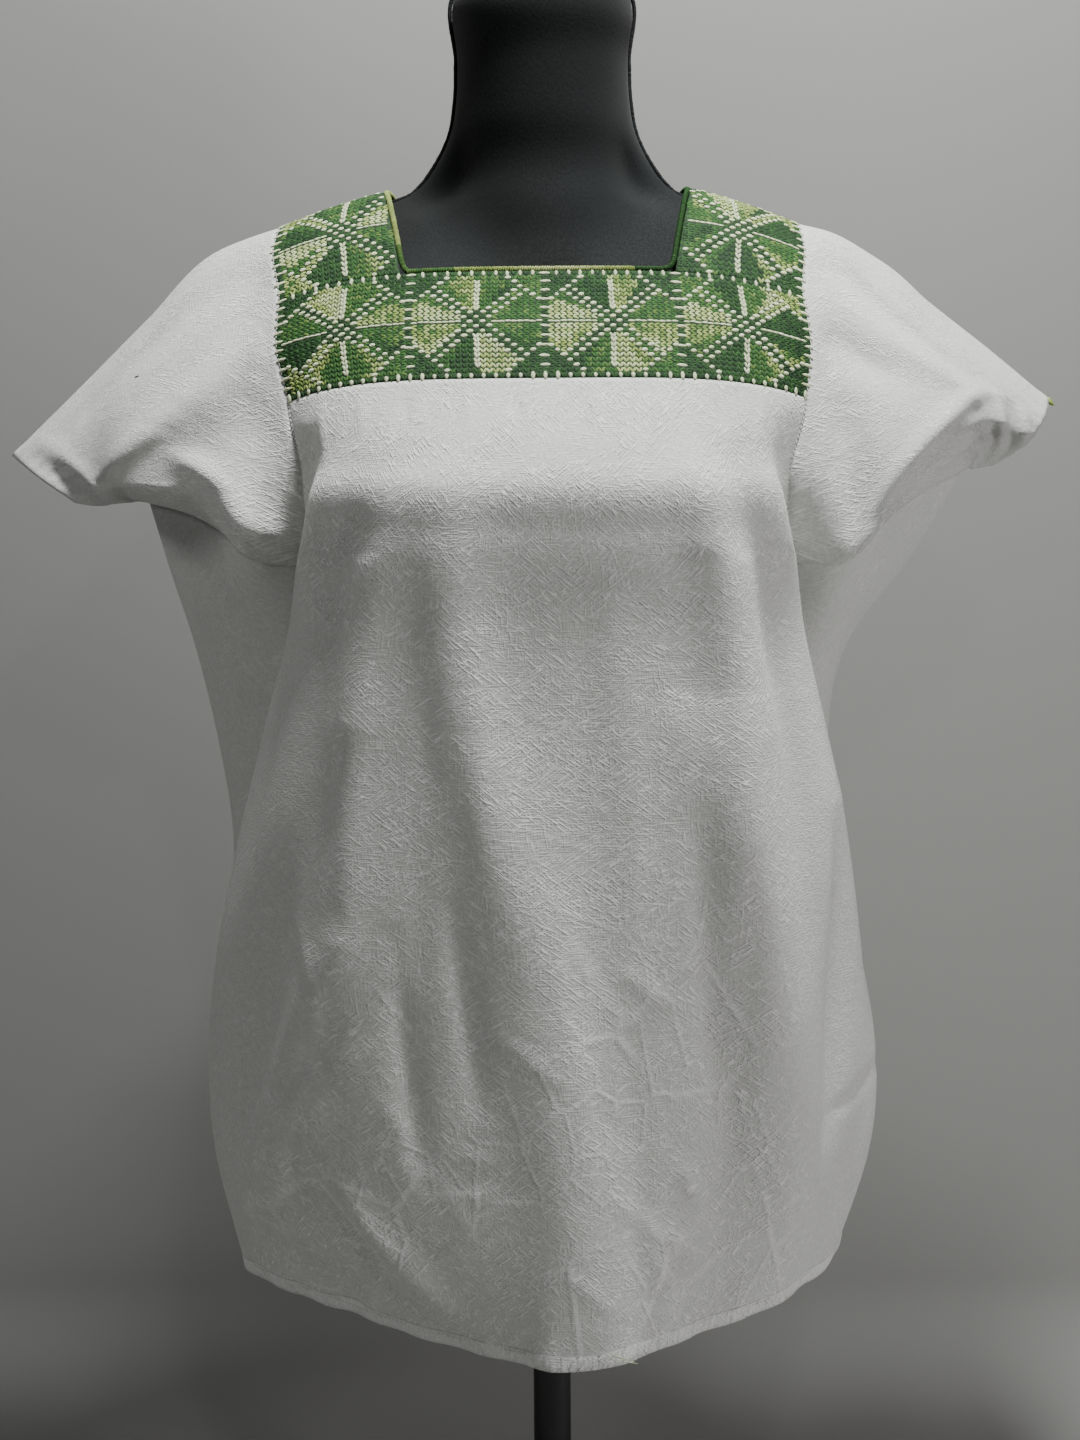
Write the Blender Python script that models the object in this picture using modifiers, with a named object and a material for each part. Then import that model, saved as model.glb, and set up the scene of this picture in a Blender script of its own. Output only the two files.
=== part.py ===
"""A white cotton huipil blouse with an embroidered square yoke, worn by a limbless dress form on a stand.

Metres, +Z up. The front of the blouse faces -Y and the wearer's left is +X. The origin is the middle of the
stand's foot, on the surface that it rests on. Heights in the tables are measured from the shoulder's neck point,
so they are mostly below zero.
"""

import math
from collections import namedtuple

import bpy
import numpy as np

# Driving sizes of the blouse
SHOULDER_HEIGHT = 0.965      # neck point of the shoulder above the surface
SHOULDER_Y = 0.010           # the shoulder line lies a little behind the stand's axis
COTTON = 0.0012              # wall of the plain cotton
EMBROIDERED = 0.0020         # wall of the yoke, cotton under thread
SEAM_EDGE = 0.0003           # each piece stops this far from the line of its seams
SLEEVE_EDGE = 0.0009         # more where a sleeve turns away from its panel
CORNER_EDGE = 0.0011         # more again where two pieces meet at a corner
EDGING_RADIUS = 0.0017       # overcast roll round the neck
NECK_HALF_WIDTH = 0.0840     # square neck, at the yoke's corners
NECK_FLARE = 0.0150          # how much wider each side is on the shoulder line
NECK_SHIFT = -0.0040         # the neck sits a little towards the wearer's right

# Distances along the cloth from the shoulder line, over the front (minus) and over the back (plus)
FRONT_NECK, BACK_NECK = -0.088, 0.086
FRONT_YOKE, BACK_YOKE = -0.172, 0.170
FRONT_UNDERARM, BACK_UNDERARM = -0.288, 0.292
FRONT_HEM, BACK_HEM = -0.760, 0.758

# Dress form and stand
FORM_BOTTOM = -0.640
WELT_RADIUS = 0.0016         # corded seam down the sides of the neck and over the shoulders
POLE_RADIUS = 0.0127
FOOT_RADIUS = 0.150
FOOT_THICKNESS = 0.008
PLATE_THICKNESS = 0.009
CLEAR = 0.0003               # between solids that touch

# Share of a side gore's length over which it leaves the sleeve's underarm for its own hang.
SETTLE_RIGHT, SETTLE_LEFT = 0.16, 0.26

Section = namedtuple(
    "Section", "run z_mid z_minus z_plus bow y_mid minus plus depth turn square_minus square_plus")
# One row for each section of the centre of the blouse, from the front hem over the shoulder to the back hem.
# run: distance along the cloth; z_mid, z_minus, z_plus: height at the middle and at the two side seams; bow:
# how late the height changes; y_mid: depth at the middle; minus, plus: half widths towards -X and +X; depth: how
# far the sides lie behind the middle; turn: how far the section turns, in degrees; square_minus, square_plus: 1
# for an ellipse, less for fuller corners, more for slimmer ones.
TRUNK = [
    Section(-0.760, -0.710, -0.706, -0.688, 1.5, -0.175, 0.205, 0.192, 0.155, 92, 1.70, 1.30),
    Section(-0.680, -0.632, -0.624, -0.612, 1.6, -0.172, 0.222, 0.208, 0.154, 95, 1.12, 1.16),
    Section(-0.560, -0.507, -0.501, -0.495, 2, -0.169, 0.218, 0.204, 0.143, 97, 0.90, 0.98),
    Section(-0.470, -0.415, -0.408, -0.408, 2, -0.166, 0.194, 0.189, 0.129, 98, 0.73, 0.80),
    Section(-0.390, -0.334, -0.330, -0.330, 2, -0.163, 0.170, 0.167, 0.113, 98, 0.68, 0.68),
    Section(-0.320, -0.263, -0.265, -0.265, 2, -0.161, 0.152, 0.151, 0.101, 94, 0.66, 0.66),
    Section(-0.268, -0.210, -0.216, -0.216, 3, -0.164, 0.149, 0.149, 0.100, 88, 0.70, 0.70),
    Section(-0.240, -0.181, -0.193, -0.193, 4, -0.163, 0.151, 0.151, 0.104, 81, 0.74, 0.74),
    Section(-0.222, -0.165, -0.178, -0.178, 4, -0.153, 0.155, 0.155, 0.103, 73, 0.80, 0.80),
    Section(-0.172, -0.120, -0.133, -0.133, 4, -0.115, 0.183, 0.186, 0.092, 56, 0.84, 0.84),
    Section(-0.130, -0.086, -0.100, -0.100, 4, -0.091, 0.210, 0.208, 0.075, 50, 0.92, 0.92),
    Section(-0.088, -0.055, -0.071, -0.071, 4, -0.066, 0.232, 0.226, 0.056, 45, 1.00, 1.00),
    Section(-0.040, -0.016, -0.040, -0.040, 3, -0.028, 0.250, 0.240, 0.030, 43, 1.00, 1.00),
    Section(0.000, 0.012, -0.022, -0.022, 2, 0.010, 0.262, 0.252, 0.000, 40, 1.00, 1.00),
    Section(0.040, -0.004, -0.034, -0.034, 3, 0.046, 0.252, 0.242, -0.022, 43, 1.00, 1.00),
    Section(0.086, -0.030, -0.058, -0.058, 4, 0.085, 0.238, 0.232, -0.052, 46, 1.00, 1.00),
    Section(0.130, -0.068, -0.090, -0.090, 4, 0.108, 0.222, 0.218, -0.074, 50, 1.00, 1.00),
    Section(0.170, -0.108, -0.126, -0.126, 4, 0.120, 0.204, 0.204, -0.086, 56, 1.00, 1.00),
    Section(0.230, -0.166, -0.180, -0.180, 3, 0.131, 0.180, 0.180, -0.090, 68, 0.92, 0.92),
    Section(0.292, -0.228, -0.232, -0.232, 3, 0.134, 0.170, 0.170, -0.084, 80, 0.86, 0.86),
    Section(0.370, -0.306, -0.306, -0.306, 2, 0.136, 0.176, 0.172, -0.082, 84, 0.84, 0.84),
    Section(0.460, -0.396, -0.394, -0.394, 2, 0.142, 0.186, 0.180, -0.086, 86, 0.84, 0.84),
    Section(0.560, -0.496, -0.494, -0.494, 2, 0.152, 0.200, 0.188, -0.092, 88, 0.86, 0.86),
    Section(0.670, -0.607, -0.604, -0.604, 2, 0.159, 0.204, 0.192, -0.096, 88, 0.88, 0.88),
    Section(0.758, -0.695, -0.690, -0.690, 2, 0.160, 0.192, 0.184, -0.094, 88, 0.90, 0.90),
]

Fold = namedtuple("Fold", "begin end u_begin u_end width height")
# One row for each fold of the centre panels: where it begins and ends along the cloth, where it lies across the
# half panel there (-1 the wearer's right seam, 1 the left seam), its half width, and its height, minus for a
# trough. A fold that ends past the hem runs out through it.
FOLDS = [
    Fold(-0.215, -0.560, -0.82, -0.86, 0.020, 0.0070),
    Fold(-0.190, -0.400, -0.92, -0.94, 0.014, -0.0080),
    Fold(-0.215, -0.520, -0.63, -0.45, 0.018, -0.0085),
    Fold(-0.380, -0.780, -0.46, -0.80, 0.026, -0.0100),
    Fold(-0.230, -0.640, -0.50, -0.37, 0.018, 0.0065),
    Fold(-0.560, -0.800, -0.36, -0.95, 0.018, 0.0035),
    Fold(-0.620, -0.820, -0.46, -0.66, 0.020, -0.0035),
    Fold(-0.420, -0.700, -0.27, -0.22, 0.010, -0.0016),
    Fold(-0.215, -0.540, -0.34, -0.02, 0.024, 0.0075),
    Fold(-0.380, -0.960, -0.10, 0.20, 0.030, 0.0105),
    Fold(-0.300, -0.620, 0.19, 0.15, 0.014, 0.0024),
    Fold(-0.380, -0.740, 0.29, 0.40, 0.014, -0.0040),
    Fold(-0.210, -0.520, 0.52, 0.37, 0.017, 0.0090),
    Fold(-0.360, -0.800, 0.37, 0.62, 0.030, 0.0125),
    Fold(-0.205, -0.560, 0.67, 0.53, 0.017, -0.0095),
    Fold(-0.215, -0.540, 0.82, 0.80, 0.018, 0.0065),
    Fold(-0.185, -0.380, 0.92, 0.94, 0.014, -0.0080),
    Fold(-0.440, -0.690, 0.75, 0.66, 0.018, -0.0100),
    Fold(-0.560, -0.800, 0.94, 0.82, 0.018, 0.0060),
    Fold(-0.600, -0.900, 0.42, 0.38, 0.030, -0.0045),
    Fold(0.230, 0.900, -0.72, -0.66, 0.026, 0.0085),
    Fold(0.260, 0.900, -0.50, -0.44, 0.024, -0.0070),
    Fold(0.250, 0.700, -0.24, -0.20, 0.026, 0.0060),
    Fold(0.300, 0.900, 0.02, 0.05, 0.026, -0.0070),
    Fold(0.240, 0.900, 0.30, 0.27, 0.028, 0.0085),
    Fold(0.260, 0.800, 0.54, 0.50, 0.024, -0.0070),
    Fold(0.240, 0.900, 0.78, 0.72, 0.024, 0.0075),
]

Station = namedtuple("Station", "share top_x top_y top_z low_x low_front low_back low_z ease front back "
                     "peak_front peak_back sag")
# One row for each ring of a sleeve after the armhole: share of the sleeve's length, the fold on the shoulder
# line, the low edge (its depth at the front and at the back), how rounded the fold is, how far the front and the
# back swell, how far down the ring each swells most (0 the fold, 1 the low edge), and how far the back sags.
RIGHT_SLEEVE = [
    Station(0.08, -0.1860, 0.010, -0.0275, -0.181, -0.066, 0.066, -0.230, 1.35, 0.038, 0.040, 0.90, 0.45, 0.000),
    Station(0.18, -0.2090, 0.010, -0.0365, -0.206, -0.040, 0.047, -0.213, 1.20, 0.052, 0.050, 0.88, 0.50, 0.000),
    Station(0.46, -0.2560, 0.009, -0.0800, -0.256, 0.000, 0.000, -0.1965, 1.10, 0.076, 0.076, 0.88, 0.55, 0.002),
    Station(0.74, -0.3020, 0.004, -0.1250, -0.270, 0.002, 0.002, -0.1960, 1.10, 0.066, 0.076, 0.88, 0.52, 0.006),
    Station(1.00, -0.3440, 0.000, -0.1650, -0.286, 0.004, 0.004, -0.1975, 1.10, 0.058, 0.074, 0.86, 0.46, 0.010),
]
LEFT_SLEEVE = [
    Station(0.08, 0.1840, 0.011, -0.0275, 0.180, -0.088, 0.068, -0.232, 1.35, 0.022, 0.040, 0.70, 0.45, 0.000),
    Station(0.20, 0.2130, 0.012, -0.0435, 0.210, -0.088, 0.050, -0.204, 1.20, 0.022, 0.052, 0.66, 0.50, 0.000),
    Station(0.48, 0.2500, 0.018, -0.0725, 0.260, -0.046, 0.014, -0.1790, 1.10, 0.040, 0.074, 0.66, 0.55, 0.001),
    Station(0.76, 0.2920, 0.024, -0.1040, 0.274, -0.012, 0.006, -0.1780, 1.10, 0.052, 0.076, 0.60, 0.50, 0.003),
    Station(1.00, 0.3300, 0.030, -0.1340, 0.291, 0.008, 0.014, -0.1760, 1.10, 0.050, 0.070, 0.56, 0.46, 0.006),
]

Wing = namedtuple("Wing", "share minus plus y z")
# One row for each height of the side gores: share of the way from underarm to hem, how far out the gore's middle
# stands towards -X and +X, its depth and its height.
WINGS = [
    Wing(0.00, 0.2560, 0.2580, 0.002, -0.1965),
    Wing(0.08, 0.2460, 0.2360, 0.008, -0.238),
    Wing(0.20, 0.2320, 0.1990, 0.016, -0.290),
    Wing(0.35, 0.2180, 0.1850, 0.024, -0.360),
    Wing(0.50, 0.2080, 0.1890, 0.030, -0.432),
    Wing(0.68, 0.2130, 0.2010, 0.036, -0.522),
    Wing(0.84, 0.2180, 0.2080, 0.040, -0.608),
    Wing(1.00, 0.2030, 0.1960, 0.042, -0.689),
]

Girth = namedtuple("Girth", "z half_width front back pointed neck")
# One row for each level of the dress form: half width, depth in front of and behind SHOULDER_Y, the exponent of
# its outline, 2 for an ellipse and less for pointed sides, and the radius of the neck that stands in it.
FORM = [
    Girth(-0.640, 0.150, 0.112, 0.098, 2.3, 0),
    Girth(-0.632, 0.160, 0.122, 0.106, 2.3, 0),
    Girth(-0.600, 0.169, 0.130, 0.116, 2.3, 0),
    Girth(-0.540, 0.176, 0.132, 0.124, 2.3, 0),
    Girth(-0.460, 0.160, 0.124, 0.112, 2.2, 0),
    Girth(-0.380, 0.126, 0.106, 0.086, 2.1, 0),
    Girth(-0.310, 0.126, 0.110, 0.088, 2.1, 0),
    Girth(-0.255, 0.133, 0.120, 0.098, 2.1, 0),
    Girth(-0.205, 0.139, 0.132, 0.106, 2.1, 0),
    Girth(-0.160, 0.143, 0.130, 0.108, 2.1, 0),
    Girth(-0.120, 0.152, 0.118, 0.102, 2.0, 0),
    Girth(-0.086, 0.176, 0.094, 0.092, 1.9, 0),
    Girth(-0.066, 0.196, 0.077, 0.078, 1.8, 0),
    Girth(-0.054, 0.204, 0.066, 0.070, 1.7, 0.060),
    Girth(-0.0466, 0.202, 0.058, 0.064, 1.6, 0.062),
    Girth(-0.0368, 0.184, 0.050, 0.058, 1.5, 0.061),
    Girth(-0.0264, 0.156, 0.042, 0.052, 1.5, 0.060),
    Girth(-0.0156, 0.126, 0.034, 0.046, 1.4, 0.059),
    Girth(-0.0080, 0.0996, 0.024, 0.036, 1.4, 0.058),
    Girth(-0.0035, 0.0866, 0.022, 0.030, 1.4, 0.057),
    Girth(0.003, 0.0785, 0.024, 0.026, 1.5, 0.055),
    Girth(0.014, 0.0700, 0.031, 0.031, 1.6, 0.0535),
    Girth(0.034, 0.0595, 0.045, 0.045, 2.0, 0.0520),
    Girth(0.056, 0.0555, 0.046, 0.046, 2.0, 0.0520),
    Girth(0.080, 0.0545, 0.046, 0.046, 2.0, 0.0520),
    Girth(0.122, 0.0550, 0.046, 0.046, 2.0, 0.0520),
    Girth(0.128, 0.0515, 0.043, 0.043, 2.0, 0.0485),
]
BUST_APART, BUST_Z, BUST_SPREAD, BUST_HEIGHT = 0.082, -0.205, 0.048, 0.014

# Mesh resolution
HALF_PANEL_CELLS = 14
YOKE_CELLS = 4
STRAP_CELLS = 4
ARMHOLE_CELLS = 4
SKIRT_CELLS = 13
GORE_HALF_CELLS = 5
SLEEVE_END_CELLS = 8
FORM_SIDES = 36
SECTION_SAMPLES = 60

WHITE_COTTON = ("white_cotton", (0.82, 0.83, 0.81), 0.85, 0.0)
GREEN_THREAD = ("green_thread", (0.16, 0.32, 0.12), 0.80, 0.0)
PALE_THREAD = ("pale_green_thread", (0.55, 0.58, 0.24), 0.80, 0.0)
BLACK_JERSEY = ("black_jersey", (0.012, 0.013, 0.015), 0.90, 0.0)
BLACK_METAL = ("black_metal", (0.01, 0.01, 0.01), 0.40, 0.6)


def material(look):
    """The Principled material of that name, made once."""
    name, colour, roughness, metallic = look
    found = bpy.data.materials.get(name)
    if found:
        return found
    made = bpy.data.materials.new(name)
    made.use_nodes = True
    shader = made.node_tree.nodes["Principled BSDF"]
    shader.inputs["Base Color"].default_value = (*colour, 1)
    shader.inputs["Roughness"].default_value = roughness
    shader.inputs["Metallic"].default_value = metallic
    return made


def add(name, data, look):
    """A new object in the blouse's collection, with one material."""
    data.materials.append(material(look))
    made = bpy.data.objects.new(name, data)
    bpy.data.collections["huipil_on_form"].objects.link(made)
    return made


def read(table, key, value):
    """A row between the table's rows, by a smooth curve through every column."""
    keys = np.array([getattr(row, key) for row in table])
    rows = np.array(table, float)
    slopes = np.gradient(rows, keys, axis=0)
    i = int(np.clip(np.searchsorted(keys, value) - 1, 0, len(keys) - 2))
    span = keys[i + 1] - keys[i]
    t = min(max((value - keys[i]) / span, 0.0), 1.0)
    across = rows[i] * (1 + 2 * t) * (1 - t) ** 2 + rows[i + 1] * t * t * (3 - 2 * t)
    leaning = slopes[i] * t * (1 - t) ** 2 - slopes[i + 1] * t * t * (1 - t)
    return type(table[0])(*(across + leaning * span))


def half_section(row, side):
    """Points of one half of a section from the middle to the seam, and the distance along it of each."""
    half_width, square = (row.plus, row.square_plus) if side > 0 else (row.minus, row.square_minus)
    turn = math.radians(row.turn) * np.linspace(0, 1, SECTION_SAMPLES) ** (1 / square)
    x = half_width * np.sin(turn) ** square
    y = row.y_mid + row.depth * (1 - np.sign(np.cos(turn)) * np.abs(np.cos(turn)) ** square)
    along = np.concatenate([[0], np.cumsum(np.hypot(np.diff(x), np.diff(y)))])
    return x, y, along


def fold_height(run, u, half_length):
    """How far the folds lift the cloth at a place on a centre panel."""
    height = 0.0
    for fold in FOLDS:
        share = (run - fold.begin) / (fold.end - fold.begin)
        if not 0 < share < 1:
            continue
        middle = fold.u_begin + (fold.u_end - fold.u_begin) * share
        away = (u - middle) * half_length / fold.width
        swell = math.sin(math.pi * share ** 0.8) ** 1.2
        height += fold.height * swell * math.exp(-away * away)
    return height


def trunk(run, u):
    """A point of the blouse's centre: run along the cloth from the shoulder, u across from seam to seam."""
    row = read(TRUNK, "run", run)
    x, y, along = half_section(row, u)
    at = abs(u) * along[-1]
    side = math.copysign(1.0, u)
    px, py = np.interp(at, along, x), np.interp(at, along, y)
    i = int(np.clip(np.searchsorted(along, at), 1, len(along) - 1))
    dx, dy = x[i] - x[i - 1], y[i] - y[i - 1]
    lift = fold_height(run, u, along[-1]) / math.hypot(dx, dy)
    front = math.copysign(1.0, -run)
    z_side = row.z_plus if u > 0 else row.z_minus
    z = row.z_mid + (z_side - row.z_mid) * abs(u) ** row.bow
    return np.array([side * (px + front * dy * lift), py - front * dx * lift, SHOULDER_HEIGHT + z])


def levels(*marks_and_cells):
    """Distances along the cloth: mark, cells, mark, cells, mark."""
    marks, cells = marks_and_cells[::2], marks_and_cells[1::2]
    found = [marks[0]]
    for low, high, count in zip(marks, marks[1:], cells):
        found += [low + (high - low) * (i + 1) / count for i in range(count)]
    return found


ARMHOLE_RUNS = levels(
    FRONT_UNDERARM, ARMHOLE_CELLS, FRONT_YOKE, YOKE_CELLS, FRONT_NECK, STRAP_CELLS, 0.0,
    STRAP_CELLS, BACK_NECK, YOKE_CELLS, BACK_YOKE, ARMHOLE_CELLS, BACK_UNDERARM,
)


def ring_point(station, a):
    """A point of a sleeve ring. a runs from -1 at the front low edge, over the fold at 0, to 1 at the back."""
    b = abs(a)
    if a > 0:
        low_y, swell, peak, sag = station.low_back, station.back, station.peak_back, station.sag
    else:
        low_y, swell, peak, sag = station.low_front, -station.front, station.peak_front, 0.0
    rise = math.sin(math.pi / 2 * min(b / peak, 1) ** 0.85)
    fall = math.cos(math.pi / 2 * max((b - peak) / (1 - peak), 0) ** 1.2)
    return np.array([
        station.top_x + (station.low_x - station.top_x) * b,
        station.top_y + (low_y - station.top_y) * b + swell * rise * fall,
        SHOULDER_HEIGHT + station.top_z + (station.low_z - station.top_z) * b ** station.ease
        - sag * math.sin(math.pi * b),
    ])


def sleeve_point(stations, side, run, share):
    """A point of a sleeve: run picks the thread that starts at the armhole, share how far out it is."""
    a = run / (BACK_UNDERARM if run > 0 else -FRONT_UNDERARM)
    keys = [0.0] + [s.share for s in stations]
    points = np.array([trunk(run, side)] + [ring_point(s, a) for s in stations])
    slopes = np.gradient(points, keys, axis=0)
    i = int(np.clip(np.searchsorted(keys, share) - 1, 0, len(keys) - 2))
    span = keys[i + 1] - keys[i]
    t = (share - keys[i]) / span
    across = points[i] * (1 + 2 * t) * (1 - t) ** 2 + points[i + 1] * t * t * (3 - 2 * t)
    return across + span * (slopes[i] * t * (1 - t) ** 2 - slopes[i + 1] * t * t * (1 - t))


def gore_point(stations, side, share, g):
    """A point of a side gore: share down from the underarm to the hem, g across from front seam to back seam."""

    def plain(share):
        wing = read(WINGS, "share", share)
        front = trunk(FRONT_UNDERARM + (FRONT_HEM - FRONT_UNDERARM) * share, side)
        back = trunk(BACK_UNDERARM + (BACK_HEM - BACK_UNDERARM) * share, side)
        out = wing.plus if side > 0 else wing.minus
        middle = np.array([side * out, wing.y, SHOULDER_HEIGHT + wing.z])
        control = 2 * middle - (front + back) / 2
        return front * (1 - g) ** 2 + 2 * g * (1 - g) * control + back * g * g

    under = stations[2].share
    run, out = (FRONT_UNDERARM, 2 * g) if g <= 0.5 else (BACK_UNDERARM, 2 - 2 * g)
    edge = sleeve_point(stations, side, run, under * out)
    settle = max(0.0, 1 - share / (SETTLE_LEFT if side > 0 else SETTLE_RIGHT)) ** 2
    return plain(share) + (edge - plain(0.0)) * settle


def trimmed(grid, edge_width):
    """The grid with its border moved in."""
    points = np.array(grid, float)
    moved = points.copy()
    for edge, inner in (((0, slice(None)), (1, slice(None))), ((-1, slice(None)), (-2, slice(None))),
                        ((slice(None), 0), (slice(None), 1)), ((slice(None), -1), (slice(None), -2))):
        step = points[inner] - points[edge]
        moved[edge] += step / np.linalg.norm(step, axis=-1, keepdims=True) * edge_width
    return moved


def cloth(name, grid, thickness, look, flip=False, edge_width=SEAM_EDGE):
    """A cloth wall: the grid is its middle, and Solidify gives its thickness both ways."""
    points = trimmed(grid, edge_width)
    rows, columns = points.shape[:2]
    faces = []
    for i in range(rows - 1):
        for j in range(columns - 1):
            k = i * columns + j
            face = (k, k + 1, k + columns + 1, k + columns)
            faces.append(face[::-1] if flip else face)
    mesh = bpy.data.meshes.new(name)
    mesh.from_pydata(points.reshape(-1, 3).tolist(), [], faces)
    mesh.shade_smooth()
    made = add(name, mesh, look)
    wall = made.modifiers.new("wall", "SOLIDIFY")
    wall.thickness = thickness
    wall.offset = 0
    wall.use_even_offset = False
    return made


def across(cells, low=-1.0, high=1.0):
    return [low + (high - low) * i / cells for i in range(cells + 1)]


def neck_u(run, side):
    """Where the neck's edge lies across the strap at that distance from the shoulder line."""
    reach = BACK_NECK if run > 0 else -FRONT_NECK
    half = NECK_HALF_WIDTH + NECK_FLARE * (1 - abs(run) / reach) + side * NECK_SHIFT
    low, high = 0.0, 1.0
    for _ in range(24):
        middle = (low + high) / 2
        low, high = (middle, high) if abs(trunk(run, side * middle)[0]) < half else (low, middle)
    return side * low


def build_yoke():
    front_runs = levels(FRONT_YOKE, YOKE_CELLS, FRONT_NECK)
    back_runs = levels(BACK_NECK, YOKE_CELLS, BACK_YOKE)
    whole = across(2 * HALF_PANEL_CELLS)
    cloth("yoke_front", [[trunk(r, u) for u in whole] for r in front_runs], EMBROIDERED, GREEN_THREAD)
    cloth("yoke_back", [[trunk(r, u) for u in whole] for r in back_runs], EMBROIDERED, GREEN_THREAD)
    strap_runs = levels(FRONT_NECK, STRAP_CELLS, 0.0, STRAP_CELLS, BACK_NECK)
    for name, side in (("yoke_strap_right", -1), ("yoke_strap_left", 1)):
        grid = [[trunk(r, u) for u in across(6, neck_u(r, side), side)] for r in strap_runs]
        cloth(name, grid, EMBROIDERED, GREEN_THREAD, flip=side < 0)


def build_panels():
    whole = across(2 * HALF_PANEL_CELLS)
    front = levels(FRONT_HEM, SKIRT_CELLS, FRONT_UNDERARM, ARMHOLE_CELLS, FRONT_YOKE)
    back = levels(BACK_YOKE, ARMHOLE_CELLS, BACK_UNDERARM, SKIRT_CELLS, BACK_HEM)
    cloth("front_panel", [[trunk(r, u) for u in whole] for r in front], COTTON, WHITE_COTTON)
    cloth("back_panel", [[trunk(r, u) for u in whole] for r in back], COTTON, WHITE_COTTON)


def build_sleeve(name, stations, side):
    under = stations[2].share
    shares = across(GORE_HALF_CELLS, 0, under) + across(SLEEVE_END_CELLS, under, 1)[1:]
    grid = [[sleeve_point(stations, side, run, share) for run in ARMHOLE_RUNS] for share in shares]
    cloth(name, grid, COTTON, WHITE_COTTON, flip=side > 0, edge_width=SLEEVE_EDGE)


def build_gore(name, stations, side):
    columns = across(2 * GORE_HALF_CELLS, 0, 1)
    shares = across(SKIRT_CELLS, 0, 1)
    grid = [[gore_point(stations, side, share, g) for g in columns] for share in shares]
    cloth(name, grid, COTTON, WHITE_COTTON, flip=side > 0, edge_width=CORNER_EDGE)


def tube(name, points, radius, look, cyclic=False, resolution=1):
    """A round cord through the points."""
    curve = bpy.data.curves.new(name, "CURVE")
    curve.dimensions = "3D"
    curve.bevel_depth = radius
    curve.bevel_resolution = resolution
    curve.use_fill_caps = not cyclic
    spline = curve.splines.new("POLY")
    spline.points.add(len(points) - 1)
    for knot, point in zip(spline.points, points):
        knot.co = (*point, 1)
    spline.use_cyclic_u = cyclic
    return add(name, curve, look)


def build_edging():
    """The overcast roll lies in the yoke's neck edge, its middle a radius and a gap inside it."""
    inset = EDGING_RADIUS + 2 * CLEAR
    half_yoke = YOKE_CELLS + 3

    def edge(run, u):
        point = trunk(run, u)
        return point - np.array([math.copysign(inset, point[0]), 0, 0])

    across_front = [trunk(FRONT_NECK, u) for u in across(12, neck_u(FRONT_NECK, -1), neck_u(FRONT_NECK, 1))]
    across_back = [trunk(BACK_NECK, u) for u in across(12, neck_u(BACK_NECK, 1), neck_u(BACK_NECK, -1))]
    front_line = [p + np.array([0, inset * 0.75, inset * 0.75]) for p in across_front[1:-1]]
    back_line = [p + np.array([0, -inset * 0.75, inset * 0.75]) for p in across_back[1:-1]]
    runs = levels(FRONT_NECK, half_yoke, 0.0, half_yoke, BACK_NECK)[1:-1]
    left_line = [edge(run, neck_u(run, 1)) for run in runs]
    right_line = [edge(run, neck_u(run, -1)) for run in reversed(runs)]
    loop = front_line + left_line + back_line + right_line
    tube("neck_edging", loop, EDGING_RADIUS, PALE_THREAD, cyclic=True)


def form_outline(row, sides):
    """One level of the dress form, with the bust swelling its front."""
    points = []
    for i in range(sides):
        angle = 2 * math.pi * i / sides
        c, s = math.cos(angle), math.sin(angle)
        x = math.copysign(abs(c) ** (2 / row.pointed), c) * row.half_width
        y = abs(s) ** (2 / row.pointed) * (row.back if s > 0 else row.front)
        round_neck = math.sqrt(max(row.neck ** 2 - x * x, 0.0))
        y = math.copysign((y ** 6 + round_neck ** 6) ** (1 / 6), s)
        if s < 0:
            for side in (-1, 1):
                away = ((x - side * BUST_APART) ** 2 + (row.z - BUST_Z) ** 2) / BUST_SPREAD ** 2
                y -= BUST_HEIGHT * math.exp(-away)
        points.append((x, SHOULDER_Y + y, SHOULDER_HEIGHT + row.z))
    return points


def loft(name, rings, look):
    """A closed solid through rings that all have the same number of points."""
    sides = len(rings[0])
    points = [point for ring in rings for point in ring]
    faces = [tuple(reversed(range(sides))), tuple(range(len(points) - sides, len(points)))]
    for level in range(len(rings) - 1):
        for i in range(sides):
            j = (i + 1) % sides
            k = level * sides
            faces.append((k + i, k + j, k + sides + j, k + sides + i))
    mesh = bpy.data.meshes.new(name)
    mesh.from_pydata(points, [], faces)
    mesh.shade_smooth()
    mesh.set_sharp_from_angle(angle=math.radians(50))
    return add(name, mesh, look)


def build_form():
    loft("form_torso", [form_outline(row, FORM_SIDES) for row in FORM], BLACK_JERSEY)


def build_welts():
    """The corded seam stands off the form by a gap, from the top of the neck to the shoulder's tip."""
    rows = [row for row in FORM if row.z > -0.044][:-1]
    lift = WELT_RADIUS + CLEAR
    for name, side in (("neck_welt_right", -1), ("neck_welt_left", 1)):
        line = []
        for i, row in enumerate(rows):
            below, above = rows[max(i - 1, 0)], rows[min(i + 1, len(rows) - 1)]
            dx, dz = above.half_width - below.half_width, above.z - below.z
            length = math.hypot(dx, dz)
            line.append((side * (row.half_width + lift * dz / length), SHOULDER_Y,
                         SHOULDER_HEIGHT + row.z - lift * dx / length))
        tube(name, line, WELT_RADIUS, BLACK_JERSEY)


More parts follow.
